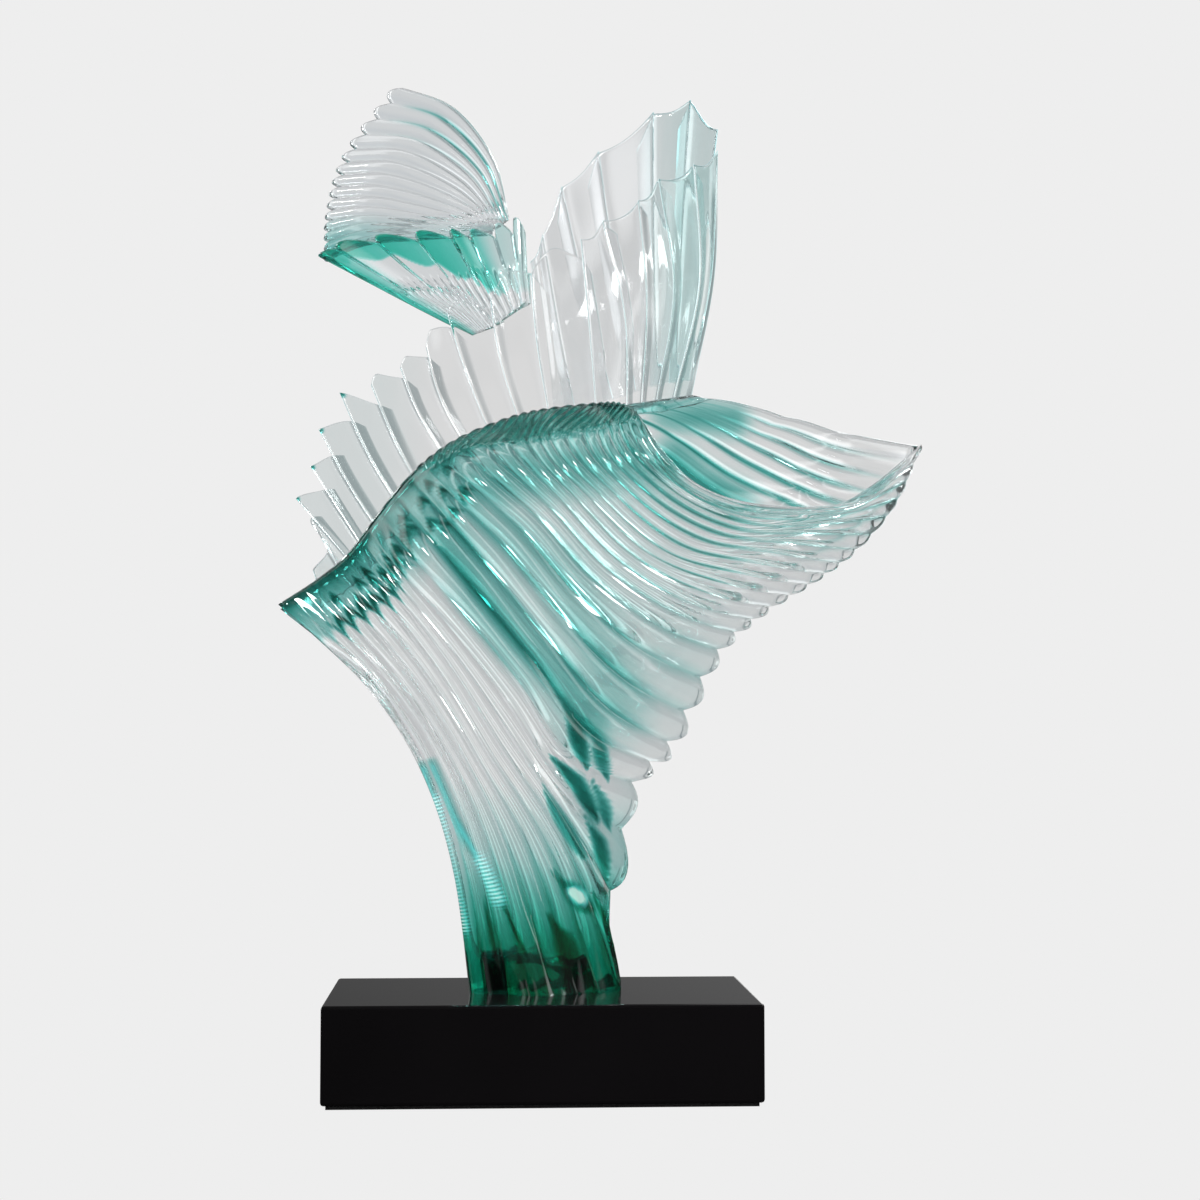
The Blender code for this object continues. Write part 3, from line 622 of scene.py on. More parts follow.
# %% Shape of a plate
PLATE_THICKNESS = 0.004
PLATE_BOND = 0.0007
PLATE_OVERLAP = 1 / 3
ROOT_BOND = 0.0016
CREST_ROOTS = (2.2, 4.8, 6.1, 7.2, 9, 10.6, 11.7, 13.7, 15.1, 16.4, 18, 20.2, 22.5, 24.3, 25.3, 26.3,
               27.3, 28.4)
CREST_ROOT_ROWS = (0.05,) * 12 + (0.058, 0.075, 0.085, 0.095, 0.11, 0.125)
CREST_BOW = (0,) * 4 + (-0.002, -0.003, -0.002, -0.004, -0.005, -0.002, -0.004, -0.003,
                        0, 0.006, 0.004, 0.010, 0.010, 0.007)
CREST_BELLY = (0.004, 0.004, 0.003, 0.002, 0, -0.001, -0.003, -0.004, -0.004, -0.005) + (-0.006,) * 4 + (
    -0.005, -0.004, -0.001, 0.002)
CREST_TIPS = (
    (-0.145, 0.026, 0.262), (-0.140, 0.030, 0.282), (-0.156, 0.032, 0.308), (-0.147, 0.033, 0.329),
    (-0.142, 0.034, 0.353), (-0.129, 0.035, 0.377), (-0.111, 0.036, 0.387), (-0.092, 0.038, 0.398),
    (-0.075, 0.040, 0.413), (-0.062, 0.040, 0.435), (-0.034, 0.040, 0.449), (-0.007, 0.040, 0.469),
    (0.026, 0.038, 0.479), (0.040, 0.036, 0.491), (0.063, 0.033, 0.504), (0.076, 0.032, 0.518),
    (0.099, 0.036, 0.529), (0.117, 0.044, 0.542),
)
PETAL_ROOTS = (16.95, 16.2, 15.2, 13.8, 12.6, 11.6, 11.1)
PETAL_ROOT_ROW = 0.08
PETAL_SETBACK = 1.8
PETAL_BELLY = 0.010
PETAL_TIPS = (
    (0.119, 0.060, 0.559), (0.102, 0.074, 0.583), (0.077, 0.079, 0.576), (0.040, 0.080, 0.549),
    (0.015, 0.077, 0.524), (0.002, 0.071, 0.490), (-0.006, 0.066, 0.471),
)
# A plate's top: where across it the peak lies, the fall before it, the fall after it and its sag
POINTED_TOP = (0.0, 0.0, 0.22, 0.0)
ROUNDED_TOP = (0.3, 0.07, 0.15, 0.0)
LEAF_TOP = (0.5, 0.12, 0.10, 0.0)
STEPPED_TOP = (0.0, 0.0, 0.0, 0.03)
OVERLAP_DROP = 0.3
PLATE_LEAN = (PLATE_THICKNESS + PLATE_BOND) * (1 + PLATE_OVERLAP)
PLATE_HALF_DEPTH = (PLATE_LEAN + PLATE_THICKNESS) / 2
PLATE_WIDTH = 0.022
EDGE_ROUND = 0.0012


def leaning_net(root, tips, bow, belly):
    """Root, middle and tip of a fan at each of its guides."""
    tip = np.array(tips)
    middle = (root + tip) / 2
    middle[:, 0] += bow
    middle[:, 1] += belly
    return np.stack([root, middle, tip], axis=1)


ribs = np.array(CREST_ROOTS, float)
rows = np.array(CREST_ROOT_ROWS, float)
crest_root = back_middle(ribs, rows) + wall_normal(back_middle, ribs, rows) * WALL_THICKNESS / 2
crest_root[:, 1] += ROOT_BOND + PLATE_HALF_DEPTH
CREST_NET = leaning_net(crest_root, CREST_TIPS, CREST_BOW, CREST_BELLY)


def crest_surface(s, t):
    """Where the crest's plates lie, read at plate s and row t."""
    return net_point(range(len(CREST_TIPS)), (0, 0.5, 1), CREST_NET, s, t)


def off_crest(plates, row, setback):
    """Root points that stand off the back of the crest, at one row of it."""
    plates = np.array(plates, float)
    rows = np.full_like(plates, row)
    return crest_surface(plates, rows) + back_normal(crest_surface, plates, rows) * setback


petal_root = off_crest(PETAL_ROOTS, PETAL_ROOT_ROW, PETAL_SETBACK * PLATE_HALF_DEPTH + PLATE_BOND)
PETAL_NET = leaning_net(petal_root, PETAL_TIPS, 0, PETAL_BELLY)


def petal_surface(s, t):
    """Where the petal's plates lie, read at plate s and row t."""
    return net_point(range(len(PETAL_TIPS)), (0, 0.5, 1), PETAL_NET, s, t)


# %% Where a plate's corners go
RIGHT_TAPER = (-0.12, 0.55)
FOOT_TAPER_START = -0.01


def plate_cut(across, top):
    """Share of the height cut off a plate's top, across its width up to the next plate's edge."""
    peak, shoulder, drop, sag = top
    before = np.clip(peak - across, 0, 1) / max(peak, STEP)
    after = np.clip(across - peak, 0, 1) / (1 - peak)
    between = np.clip(across, 0, 1)
    beyond = np.clip(across - 1, 0, 1)
    return shoulder * before ** 2 + drop * after + sag * np.sin(math.pi * between) + OVERLAP_DROP * beyond


def plate_place(surface, first, top, last, length, thin_foot=0.0):
    """Where a plate's corners go: it starts at its own guide and passes behind the next one's edge."""
    width = 1 if last else 1 + PLATE_OVERLAP

    def place(u, v, w):
        t = crowded_ends(v)
        across = crowded_ends(u) * width
        s = first + across
        full = round_over((1 - t) * length, PLATE_THICKNESS / 2)
        full = full * round_over(across * PLATE_WIDTH, EDGE_ROUND)
        full = full * smooth_step(width - across, *RIGHT_TAPER)
        full = full * smooth_step(t, FOOT_TAPER_START, thin_foot)
        t = t * (1 - plate_cut(across, top) * t ** 2)
        lean = PLATE_LEAN * (0.5 - across / (1 + PLATE_OVERLAP))
        depth = (w - 0.5) * PLATE_THICKNESS * full - lean
        return surface(s, t) + stacking_normal(surface, s, t) * depth[:, None]
    return place


# %% Bending the plates
PLATE_COLUMNS = 22
PLATE_ROWS = 60
CREST_LENGTH = 0.12
PETAL_LENGTH = 0.18
PETAL_THIN_FOOT = 0.3
crest_tops = [POINTED_TOP] * 6 + [ROUNDED_TOP] * 4 + [LEAF_TOP] * 2 + [STEPPED_TOP] * 5
petal_tops = [STEPPED_TOP] * 6


def bend_plates(layer, surface, tops, length, thin_foot=0.0):
    """Bends one plate for each top, from left to right."""
    for i, top in enumerate(tops):
        place = plate_place(surface, i, top, i == len(tops) - 1, length, thin_foot)
        bent_slab(f"{layer}_feather_{i + 1:02d}", PLATE_COLUMNS, PLATE_ROWS, place)
    print(layer, "plates:", len(tops))


bend_plates("crest", crest_surface, crest_tops, CREST_LENGTH)
bend_plates("petal", petal_surface, petal_tops, PETAL_LENGTH, PETAL_THIN_FOOT)

# %% [markdown]
# ## The small wing at the upper left
# Two fans make it. The lower one leaves the back of the crest and spreads to the left. It is pleated
# near its root, and further out it turns into shingled feathers with rounded tips, which end in a
# sea-green band. The upper one is pleated all over. It is bonded behind that band and curls up and
# over, its ribs running from the serrated left edge round to the right. Both are bent from slabs as
# the wing is, since a fan modelled rib by rib would have to be bent afterwards anyway.

# %% Nets of the two fans
FAN_THICKNESS = 0.005
FAN_PLEAT_DEPTH = 0.0022
UPPER_PLEAT_DEPTH = 0.0018
FAN_SCALLOP_SHARE = 0.05
LOWER_FAN_RIBS = 9
LOWER_GUIDES = (0, 2, 4.5, 6.5, 8, 9)
LOWER_ROOTS = (9.45, 9.6, 9.8, 10.1, 10.5, 10.9)
LOWER_ROOT_ROW = 0.76
LOWER_BOND = 0.0002
LOWER_BELLY = 0.002
LOWER_TIPS = (
    (-0.144, 0.028, 0.465), (-0.126, 0.036, 0.477), (-0.091, 0.045, 0.484),
    (-0.065, 0.050, 0.488), (-0.040, 0.055, 0.490), (-0.010, 0.058, 0.500),
)
UPPER_FAN_RIBS = 11
UPPER_FINE_RIBS = 14
UPPER_BOND = 0.0011
UPPER_START_RIB = 8.3
UPPER_ROOT_ROW = 0.94
UPPER_GUIDES = (0, 4, 8, 11)
UPPER_ROWS = (0.0, 0.33, 0.66, 1.0)
UPPER_LIFTS = (
    ((0, 0, 0), (0, 0, 0), (0, 0, 0), (0, 0, 0)),
    ((0.002, 0.004, 0.004), (0.008, 0.014, 0.018), (0.002, 0.018, 0.030), (0.000, 0.014, 0.039)),
    ((0.006, 0.008, 0.007), (0.025, 0.022, 0.046), (0.024, 0.028, 0.072), (0.013, 0.024, 0.084)),
    ((0.011, 0.010, 0.012), (0.046, 0.022, 0.060), (0.056, 0.028, 0.100), (0.043, 0.032, 0.128)),
)
setback = PLATE_HALF_DEPTH + LOWER_BOND + FAN_THICKNESS / 2 + FAN_PLEAT_DEPTH
lower_root = off_crest(LOWER_ROOTS, LOWER_ROOT_ROW, setback)
LOWER_NET = leaning_net(lower_root, LOWER_TIPS, 0, LOWER_BELLY)


def lower_surface(k, t):
    """Where the lower fan lies, read at rib k and row t."""
    return net_point(LOWER_GUIDES, (0, 0.5, 1), LOWER_NET, k, t)


start = UPPER_START_RIB * (1 - np.array(UPPER_ROWS))
rows = np.full_like(start, UPPER_ROOT_ROW)
stand_off = back_normal(lower_surface, start, rows) * (FAN_THICKNESS + UPPER_BOND)
upper_first = lower_surface(start, rows) + stand_off
UPPER_NET = upper_first[None] + np.array(UPPER_LIFTS)


def upper_surface(k, t):
    """Where the upper fan lies, read at rib k and row t."""
    return net_point(UPPER_GUIDES, UPPER_ROWS, UPPER_NET, k, t)


# %% Bending the two fans
FAN_LENGTH = 0.11
FAN_RIB_WIDTH = 0.010
FAN_FOLDS_PER_RIB = 2
FEATHER_STARTS = (0, 1.0, 3.1, 5.0, 6.75, 7.6, 8.3, 8.7)
FEATHER_CUTS = (0.03, 0.13, 0.17, 0.19, 0.22, 0.26, 0.30, 0.34)
# The outline of a feather's tip: the part of a half circle that it covers, and its lean to the left
TIP_ARC = (0.06, 0.94)
TIP_LEAN = 0.55
CUT_ROWS = (0.5, 1.0)
FLAT_ROWS = (0.35, 0.6)
LOWER_GROOVE = 0.6
UPPER_GROOVE = 0.5
FAN_ROWS = 80
LOWER_COLUMNS_PER_RIB = 20
UPPER_COLUMNS_PER_RIB = 10


def feather_share(k):
    """Which feather of the lower fan holds k, and how far across it k lies."""
    starts = np.array(FEATHER_STARTS)
    ends = np.append(starts[1:], LOWER_FAN_RIBS)
    i = np.clip(np.searchsorted(starts, k, side="right") - 1, 0, len(starts) - 1)
    return i, (k - starts[i]) / (ends[i] - starts[i])


def fan_point(surface, k, t, w, full, rise, sink):
    """Where a fan's corners go: its front face stands out by rise, and its back face is sunk by sink."""
    front = -(FAN_THICKNESS / 2) * full - rise
    back = (FAN_THICKNESS / 2) * full - sink * full
    return surface(k, t) + back_normal(surface, k, t) * two_faces(w, front, back)[:, None]


def fan_fullness(u, t, rib_count):
    """Share of full thickness: a fan is rounded over at both ends and both sides."""
    radius = FAN_THICKNESS / 2
    return rounded_ends(t, FAN_LENGTH, radius) * rounded_ends(u, rib_count * FAN_RIB_WIDTH, radius)


def lower_place(u, v, w):
    """The lower fan: pleated near its root, and flat shingled feathers beyond that."""
    k = u * LOWER_FAN_RIBS
    t = crowded_ends(v)
    full = fan_fullness(u, t, LOWER_FAN_RIBS)
    i, share = feather_share(k)
    arc = TIP_ARC[0] + (TIP_ARC[1] - TIP_ARC[0]) * share ** TIP_LEAN
    cut = np.array(FEATHER_CUTS)[i] * (1 - np.sqrt(np.sin(math.pi * arc)))
    t = t * (1 - cut * smooth_step(t, *CUT_ROWS))
    flat = smooth_step(t, *FLAT_ROWS)
    fold = lobe(FAN_FOLDS_PER_RIB * k)
    rise = FAN_PLEAT_DEPTH * (fold * (1 - flat) + (1 - share) * flat)
    sink = FAN_PLEAT_DEPTH * LOWER_GROOVE * ((1 - fold) * (1 - flat) + (1 - share) * flat)
    return fan_point(lower_surface, k, t, w, full, rise, sink)


def upper_place(u, v, w):
    """The upper fan: its ribs lie evenly, each with a rounded end."""
    fold = lobe(u * UPPER_FINE_RIBS)
    t = crowded_ends(v)
    full = fan_fullness(u, t, UPPER_FINE_RIBS)
    t = t * (1 - FAN_SCALLOP_SHARE * (1 - fold))
    rise = UPPER_PLEAT_DEPTH * fold
    sink = UPPER_PLEAT_DEPTH * UPPER_GROOVE * (1 - fold)
    return fan_point(upper_surface, u * UPPER_FAN_RIBS, t, w, full, rise, sink)


bent_slab("lower_fan_casting", LOWER_FAN_RIBS * LOWER_COLUMNS_PER_RIB, FAN_ROWS, lower_place)
bent_slab("upper_fan_casting", UPPER_FINE_RIBS * UPPER_COLUMNS_PER_RIB, FAN_ROWS, upper_place)
print("castings so far:", len(castings))

# %% [markdown]
# ## Colour in the resin
# The resin was poured clear, and sea green was run into it while it was wet, so most of the colour
# lies in soft bands that follow the ribs. It could be modelled as coloured volumes, but a clear
# casting that takes its colour at the surface renders quicker and looks the same, because each wall
# is thin. The depth of the green is painted as an attribute called tint. On the front wall that is a
# few bands and leaf-shaped marks, given by points of the front view, flecks and crescents under the
# ridge, and a foot that grows darker downwards; one dark mark there is painted shade round a painted
# glint. Two more attributes hold painted highlights: the glowing edges, and the glints of the rows of
# air bubbles. The last one, flow, holds each corner's place on the flat slab, so that fine streaks
# can run along the ribs.

# %% Bands and marks
LEAF_BELLY = 1.5
LEAF_POINT = 0.0004
LEAF_CRISPNESS = 4


def along_leg(points, start, end):
    """How far along a leg of a path each point lies, from 0 to 1, and how far away from it."""
    a, b = np.array(start), np.array(end)
    flat = points[:, [0, 2]]
    along = np.clip(((flat - a) @ (b - a)) / ((b - a) @ (b - a)), 0, 1)
    return along, np.linalg.norm(flat - (a + along[:, None] * (b - a)), axis=1)


def band(points, path, width, strength):
    """A soft band along a path of the front view, in metres, that fades across its width."""
    distance = np.min([along_leg(points, *leg)[1] for leg in zip(path, path[1:])], axis=0)
    return strength * np.exp(-(distance / width) ** 2)


def leaf(points, path, width, strength):
    """A mark along a path that starts in a point, swells beyond its middle and closes again."""
    legs = list(zip(path, path[1:]))
    mark = np.zeros(len(points))
    for i, leg in enumerate(legs):
        along, distance = along_leg(points, *leg)
        girth = width * np.sin(math.pi * ((i + along) / len(legs)) ** LEAF_BELLY) + LEAF_POINT
        mark = np.maximum(mark, np.exp(-(distance / girth) ** LEAF_CRISPNESS))
    return strength * mark


def groove(k, sharpness):
    """1 in the groove between two ribs, falling off to their crests."""
    return (1 - lobe(k)) ** sharpness


# %% Green under the ridge
FLECKED_RIBS = (3, 14)
FLECKS_PER_RIB = 3
FLECK_PLACES = (0.2, 0.8)
FLECK_ROWS = (0.05, 0.15)
FLECK_SIZES = (0.25, 0.40)
FLECK_SLANT = 0.06
FLECK_THICKNESS = 0.0065
FLECK_STRENGTH = 2.4
CRESCENT_FADE = (9, 12)
CRESCENT_START = (1.0, 2.5)
CRESCENT_ROW = 0.165
CRESCENT_ARCH = 0.045
CRESCENT_OFFSET = 0.015
CRESCENT_THICKNESS = 0.013
CRESCENT_STRENGTH = 1.6
BORDER_BEFORE = 0.012
BORDER_AFTER = (0.008, 0.148)
BORDER_RIBS = (8, 12)
RIDGE_GREEN = 0.22
RIDGE_FLECKS = 1.2
RIDGE_LIP = (0.004, 0.04)
LIP_GREEN = 0.9
COMB_GREEN = 0.45


def flecks(k, t):
    """Small dark arrowheads scattered under the ridge, where the green ran between the ribs."""
    chance = np.random.default_rng(5)
    found = np.zeros_like(k)
    for rib in range(*FLECKED_RIBS):
        for _ in range(FLECKS_PER_RIB):
            middle = rib + chance.uniform(*FLECK_PLACES)
            row = chance.uniform(*FLECK_ROWS)
            size = chance.uniform(*FLECK_SIZES)
            off = np.abs(k - middle)
            arrow = np.exp(-((t - row - FLECK_SLANT * off) / FLECK_THICKNESS) ** 2)
            found = np.maximum(found, arrow * np.clip(1 - off / size, 0, 1))
    return np.clip(found * FLECK_STRENGTH, 0, 1)


def under_ridge(k, t):
    """The green band below the ridge. On the first ribs it ends in dark crescents over clear lobes."""
    border = CRESCENT_ROW - CRESCENT_ARCH * lobe(k)
    after = BORDER_AFTER[0] + (BORDER_AFTER[1] - BORDER_AFTER[0]) * smooth_step(k, *BORDER_RIBS)
    inside = fade(t, border - BORDER_BEFORE, border + after)
    crescent = np.exp(-((t - border + CRESCENT_OFFSET) / CRESCENT_THICKNESS) ** 2)
    crescent = crescent * fade(k, *CRESCENT_FADE) * smooth_step(k, *CRESCENT_START)
    combed = ridge_band(k, t) * COMB_GREEN * (1 + comb(k, t))
    return np.max([inside * (RIDGE_GREEN + RIDGE_FLECKS * flecks(k, t)), CRESCENT_STRENGTH * crescent,
                   LIP_GREEN * fade(t, *RIDGE_LIP), combed], axis=0)


# %% Tint of the front wall
UNDER_RIDGE = ((-0.088, 0.340), (-0.050, 0.368), (-0.010, 0.380), (0.037, 0.386), (0.066, 0.390))
FALL = ((-0.060, 0.345), (-0.038, 0.306), (-0.013, 0.275), (0.012, 0.250), (0.030, 0.225))
BESIDE_FALL = ((-0.045, 0.358), (0.008, 0.316), (0.034, 0.276), (0.045, 0.240))
HAZE = ((-0.020, 0.370), (0.020, 0.345), (0.050, 0.310), (0.068, 0.268))
RIM = ((0.060, 0.365), (0.110, 0.350), (0.172, 0.350), (0.212, 0.368))
FOOT_LINES = (((-0.073, 0.198), (-0.0655, 0.176), (-0.0575, 0.145), (-0.046, 0.100)),
              ((-0.067, 0.200), (-0.053, 0.167), (-0.039, 0.142), (-0.025, 0.117)))
# Each band's path in the front view, its width, its strength and the share of it that lies in grooves
BANDS = (
    (UNDER_RIDGE, 0.020, 0.50, 0.40),
    (FALL, 0.013, 1.20, 0.75),
    (BESIDE_FALL, 0.022, 0.52, 0.70),
    (HAZE, 0.042, 0.20, 0.80),
    (RIM, 0.018, 0.28, 1.0),
    (FOOT_LINES[0], 0.0025, 0.40, 0.0),
    (FOOT_LINES[1], 0.0025, 0.40, 0.0),
)
# Where the fall ends it breaks up into slits, and the foot has dark marks, one of them painted shade round
# a painted glint: path, width and strength
MARKS = (
    (((0.0080, 0.245), (0.0190, 0.226), (0.0275, 0.196)), 0.0042, 1.05),
    (((0.0240, 0.232), (0.0330, 0.215), (0.0400, 0.190)), 0.0038, 0.80),
    (((0.0050, 0.206), (0.0210, 0.189), (0.0345, 0.164)), 0.0042, 1.10),
    (((0.0300, 0.190), (0.0375, 0.176), (0.0410, 0.160)), 0.0034, 0.75),
    (((0.0000, 0.186), (0.0120, 0.165), (0.0260, 0.142)), 0.0030, 0.70),
    (((0.0260, 0.168), (0.0350, 0.152), (0.0400, 0.128)), 0.0036, 0.95),
    (((-0.035, 0.118), (-0.027, 0.080)), 0.0012, 1.5),
    (((-0.024, 0.115), (-0.009, 0.084)), 0.0012, 1.5),
    (((0.0025, 0.1100), (0.0130, 0.0920), (0.0250, 0.060)), 0.0075, 1.5),
    # Painted shade: a dark patch round the painted white glint, which together stand in for a soft box's
    # reflection
    (((0.0060, 0.134), (0.0180, 0.122), (0.0340, 0.109)), 0.0065, 1.1),
    (((0.0320, 0.120), (0.0440, 0.095), (0.0490, 0.070)), 0.0040, 1.5),
)
LINE_SHARPNESS = 1.5
FOOT_HEIGHTS = (0.0, 0.023, 0.042, 0.056, 0.085, 0.135)
FOOT_GREENS = (0.80, 0.68, 0.52, 0.34, 0.10, 0.0)
FOOT_SWAY = 0.022
FOOT_SWAY_MIDDLE = 0.6
FOOT_CRESTS = 0.80
FOOT_GROOVES = 0.35


def front_wall_tint(points, u, v):
    """All the green of the front wall, the deepest at each point."""
    k, t, _ = wing_coordinates(u, v)
    lines = groove(k, LINE_SHARPNESS)
    height = points[:, 2] - PLINTH_TOP + FOOT_SWAY * (lobe(k) - FOOT_SWAY_MIDDLE)
    foot = np.interp(height, FOOT_HEIGHTS, FOOT_GREENS) * (FOOT_CRESTS + FOOT_GROOVES * lines)
    tints = [under_ridge(k, t), foot]
    for path, width, strength, grooved in BANDS:
        tints.append(band(points, path, width, strength) * (1 - grooved + grooved * lines))
    for path, width, strength in MARKS:
        tints.append(leaf(points, path, width, strength))
    return np.max(tints, axis=0)


# %% Tint of the back wall and the core
BACK_LIP = (0.0, 0.08)
BACK_LIP_GREEN = 0.4
BACK_FOOT_SHARE = 0.35
POCKET_SHARPNESS = 3.5
# Each band in the pocket: its path, its width, its strength and the ribs over which it comes in
POCKET_BANDS = (
    (((0.070, 0.412), (0.115, 0.392), (0.160, 0.378)), 0.032, 0.90, (20, 23)),
    (((0.084, 0.392), (0.100, 0.378), (0.122, 0.366)), 0.013, 0.65, (18, 22)),
    (((0.080, 0.420), (0.105, 0.424), (0.125, 0.422)), 0.010, 0.40, (23, 26)),
)
CORE_GREENS = (0.45, 0.25)


def back_wall_tint(points, u, v):
    """A green lip along the ridge, a trace of green in the foot, and three bands in the pocket."""
    k, t, _ = wing_coordinates(u, v)
    foot = BACK_FOOT_SHARE * np.interp(points[:, 2] - PLINTH_TOP, FOOT_HEIGHTS, FOOT_GREENS)
    bands = [band(points, path, width, strength) * smooth_step(k, *ribs)
             for path, width, strength, ribs in POCKET_BANDS]
    bands[0] = bands[0] * groove(k, POCKET_SHARPNESS)
    return np.max([BACK_LIP_GREEN * fade(t, *BACK_LIP), foot, *bands], axis=0)


def core_tint(points, u, v):
    """Deep green all through, a little lighter at the top."""
    return CORE_GREENS[0] + (CORE_GREENS[1] - CORE_GREENS[0]) * smooth_step(v, 0.5, 1.0)


# %% Tint of the small wing
GREEN_BORDERS = ((0, 0.96), (1, 0.90), (3.1, 0.85), (5, 0.70), (6.75, 0.50), (7.6, 0.34), (9, 0.18))
BORDER_ARCH = 0.09
BORDER_BLUR = 0.008
FEATHER_GREEN = 0.56
PALE_SHARE = 0.88
PALE_RIBS = (7.2, 8.3)
FEATHER_FADE = 0.45
FEATHER_END = (0.90, 1.0)
FEATHER_BODY_SHARE = 0.85
FEATHER_END_SHARE = 0.35
FIRST_EDGE = (0.15, 0.5)
FIRST_EDGE_GREEN = 0.6
FIRST_BLUSH = (0.3, 1.8)
FIRST_BLUSH_GREEN = 0.22
LOW_RIBS = (0.5, 5)
LOW_ROWS = (0.4, 0.95)
LOW_GREEN = 0.30
LOW_ROOT_SHARE = 0.2
ARC_RIBS = (10.5, 12.5)
ARC_ROWS = (0.4, 0.9)
ARC_GREEN = 0.8
ARC_SHARPNESS = 3.0


def lower_fan_tint(points, u, v):
    """Each feather is clear up to a rounded border and bright sea green beyond it."""
    k = u * LOWER_FAN_RIBS
    t = crowded_ends(v)
    _, share = feather_share(k)
    border = np.interp(k, *zip(*GREEN_BORDERS)) - BORDER_ARCH * np.sin(math.pi * share)
    green = FEATHER_GREEN * smooth_step(t, border - BORDER_BLUR, border + BORDER_BLUR)
    green = green * (1 - PALE_SHARE * smooth_step(k, *PALE_RIBS)) * (1 - FEATHER_FADE * share)
    green = green * (FEATHER_BODY_SHARE + FEATHER_END_SHARE * smooth_step(t, *FEATHER_END))
    first_edge = FIRST_EDGE_GREEN * fade(k, *FIRST_EDGE)
    return np.max([green, first_edge, FIRST_BLUSH_GREEN * fade(k, *FIRST_BLUSH)], axis=0)


def upper_fan_tint(points, u, v):
    """Green in the first ribs towards their ends, and dark lines along the last ribs near their roots."""
    k = u * UPPER_FINE_RIBS
    outwards = LOW_ROOT_SHARE + (1 - LOW_ROOT_SHARE) * smooth_step(v, *LOW_ROWS)
    low = LOW_GREEN * fade(k, *LOW_RIBS) * outwards
    arc = ARC_GREEN * smooth_step(k, *ARC_RIBS) * fade(v, *ARC_ROWS) * groove(k, ARC_SHARPNESS)
    return np.maximum(low, arc)


# %% Tint and painted edge highlights of the plates
LEFT_END = (-0.11, -0.06)
LEFT_TRACE = 0.015
RIGHT_END = (0.06, 0.10)
RIGHT_TRACE = 0.04
TIP_GREEN = 1.1
TIP_TOP = (0.88, 0.95)
TIP_LEFT = (0.05, 0.22)
# Where the plates' painted edge highlights lie; CYAN is the share of them that glows cyan rather than white
LEFT_EDGE = (0.0, 0.05)
TOP_EDGE = (0.98, 0.99)
CYAN = 0.33
CYAN_EDGE_ROWS = (0.55, 0.75)
RIGHT_EDGE = (0.86, 0.92)
RIGHT_EDGE_ROWS = (0.70, 0.80)
RIGHT_EDGE_CYAN = 0.36
NOTCHED_EDGE = (0.93, 0.97)
NOTCHED_ROWS = (0.55, 0.65)


def feather_tint(points, u, v):
    """The feathers at the far left and the far right hold a trace of green."""
    x = points[:, 0]
    return LEFT_TRACE * fade(x, *LEFT_END) + RIGHT_TRACE * smooth_step(x, *RIGHT_END)


def tip_tint(points, u, v):
    """The pointed plates are darker at their tips and down their left edges."""
    tip = smooth_step(v, *TIP_TOP) * fade(u, *TIP_LEFT)
    return np.maximum(feather_tint(points, u, v), TIP_GREEN * tip)


def painted_edge_highlight(points, u, v):
    """Painted highlight: 1 along a plate's left edge, which glows white, and a third along its top, which
    glows cyan.
    """
    return np.maximum(fade(u, *LEFT_EDGE), CYAN * smooth_step(v, *TOP_EDGE))


def painted_cyan_edge(points, u, v):
    """Painted highlight on the first plates' left edges: cyan on their lower half and white above."""
    return fade(u, *LEFT_EDGE) * (CYAN + (1 - CYAN) * smooth_step(v, *CYAN_EDGE_ROWS))


def painted_right_cyan_edge(points, u, v):
    """The petal's last plate also gets a painted cyan highlight down its upper right edge."""
    right = smooth_step(u, *RIGHT_EDGE) * smooth_step(v, *RIGHT_EDGE_ROWS)
    return np.maximum(painted_edge_highlight(points, u, v), RIGHT_EDGE_CYAN * right)


def right_edge_glints(points, u, v):
    """The petal's right edge is notched, and its glitter is painted highlight, in dashes on the lower part
    of that edge.
    """
    return smooth_step(u, *NOTCHED_EDGE) * fade(v, *NOTCHED_ROWS)


# %% Painted glints of the foot and of its air bubbles
# Painted highlights of the foot, its glowing lines and glint, then its rows of air bubbles shown as painted
# glints: path, width and strength
FOOT_GLINTS = (
    (FOOT_LINES[0], 0.0011, 0.28),
    (FOOT_LINES[1], 0.0011, 0.28),
    # One painted white glint, which stands in for a soft box's reflection on the foot
    (((0.0195, 0.1215), (0.0240, 0.1185)), 0.0024, 2.5),
)
FOOT_BEAD_GLINTS = (
    (((-0.066, 0.178), (-0.056, 0.135), (-0.048, 0.100)), 0.0030, 1.0),
    (((-0.038, 0.142), (-0.026, 0.118)), 0.0030, 0.8),
)


def foot_glints(points, u, v):
    """Painted cyan highlight along the green lines of the foot, and one painted white glint at its right,
    standing in for a soft box's reflection.
    """
    return np.max([band(points, *glint) for glint in FOOT_GLINTS], axis=0)


def foot_bead_glints(points, u, v):
    """Painted glints where rows of trapped air bubbles stand along the green lines of the foot."""
    return np.max([band(points, *bead_glints) for bead_glints in FOOT_BEAD_GLINTS], axis=0)


# %% Painting the castings
def none_of_it(points, u, v):
    """No painted highlight of edges or of air bubbles."""
    return np.zeros(len(u))


def paint(name, tint, edge=none_of_it, bead_glints=none_of_it):
    """Writes a casting's attributes: tint, the painted highlights of edges and of air bubbles, and as flow
    the place on its slab.
    """
    mesh = castings[name].data
    points = np.empty(len(mesh.vertices) * 3)
    mesh.vertices.foreach_get("co", points)
    points = points.reshape(-1, 3)
    u, v, w = flat_corners[name].T
    for attribute, rule in (("tint", tint), ("edge", edge), ("bead_glints", bead_glints)):
        values = rule(points, u, v).astype(np.float32)
        mesh.attributes.new(attribute, "FLOAT", "POINT").data.foreach_set("value", values)
    flow = np.stack([u, v, w], axis=1).astype(np.float32)
    mesh.attributes.new("flow", "FLOAT_VECTOR", "POINT").data.foreach_set("vector", flow.ravel())


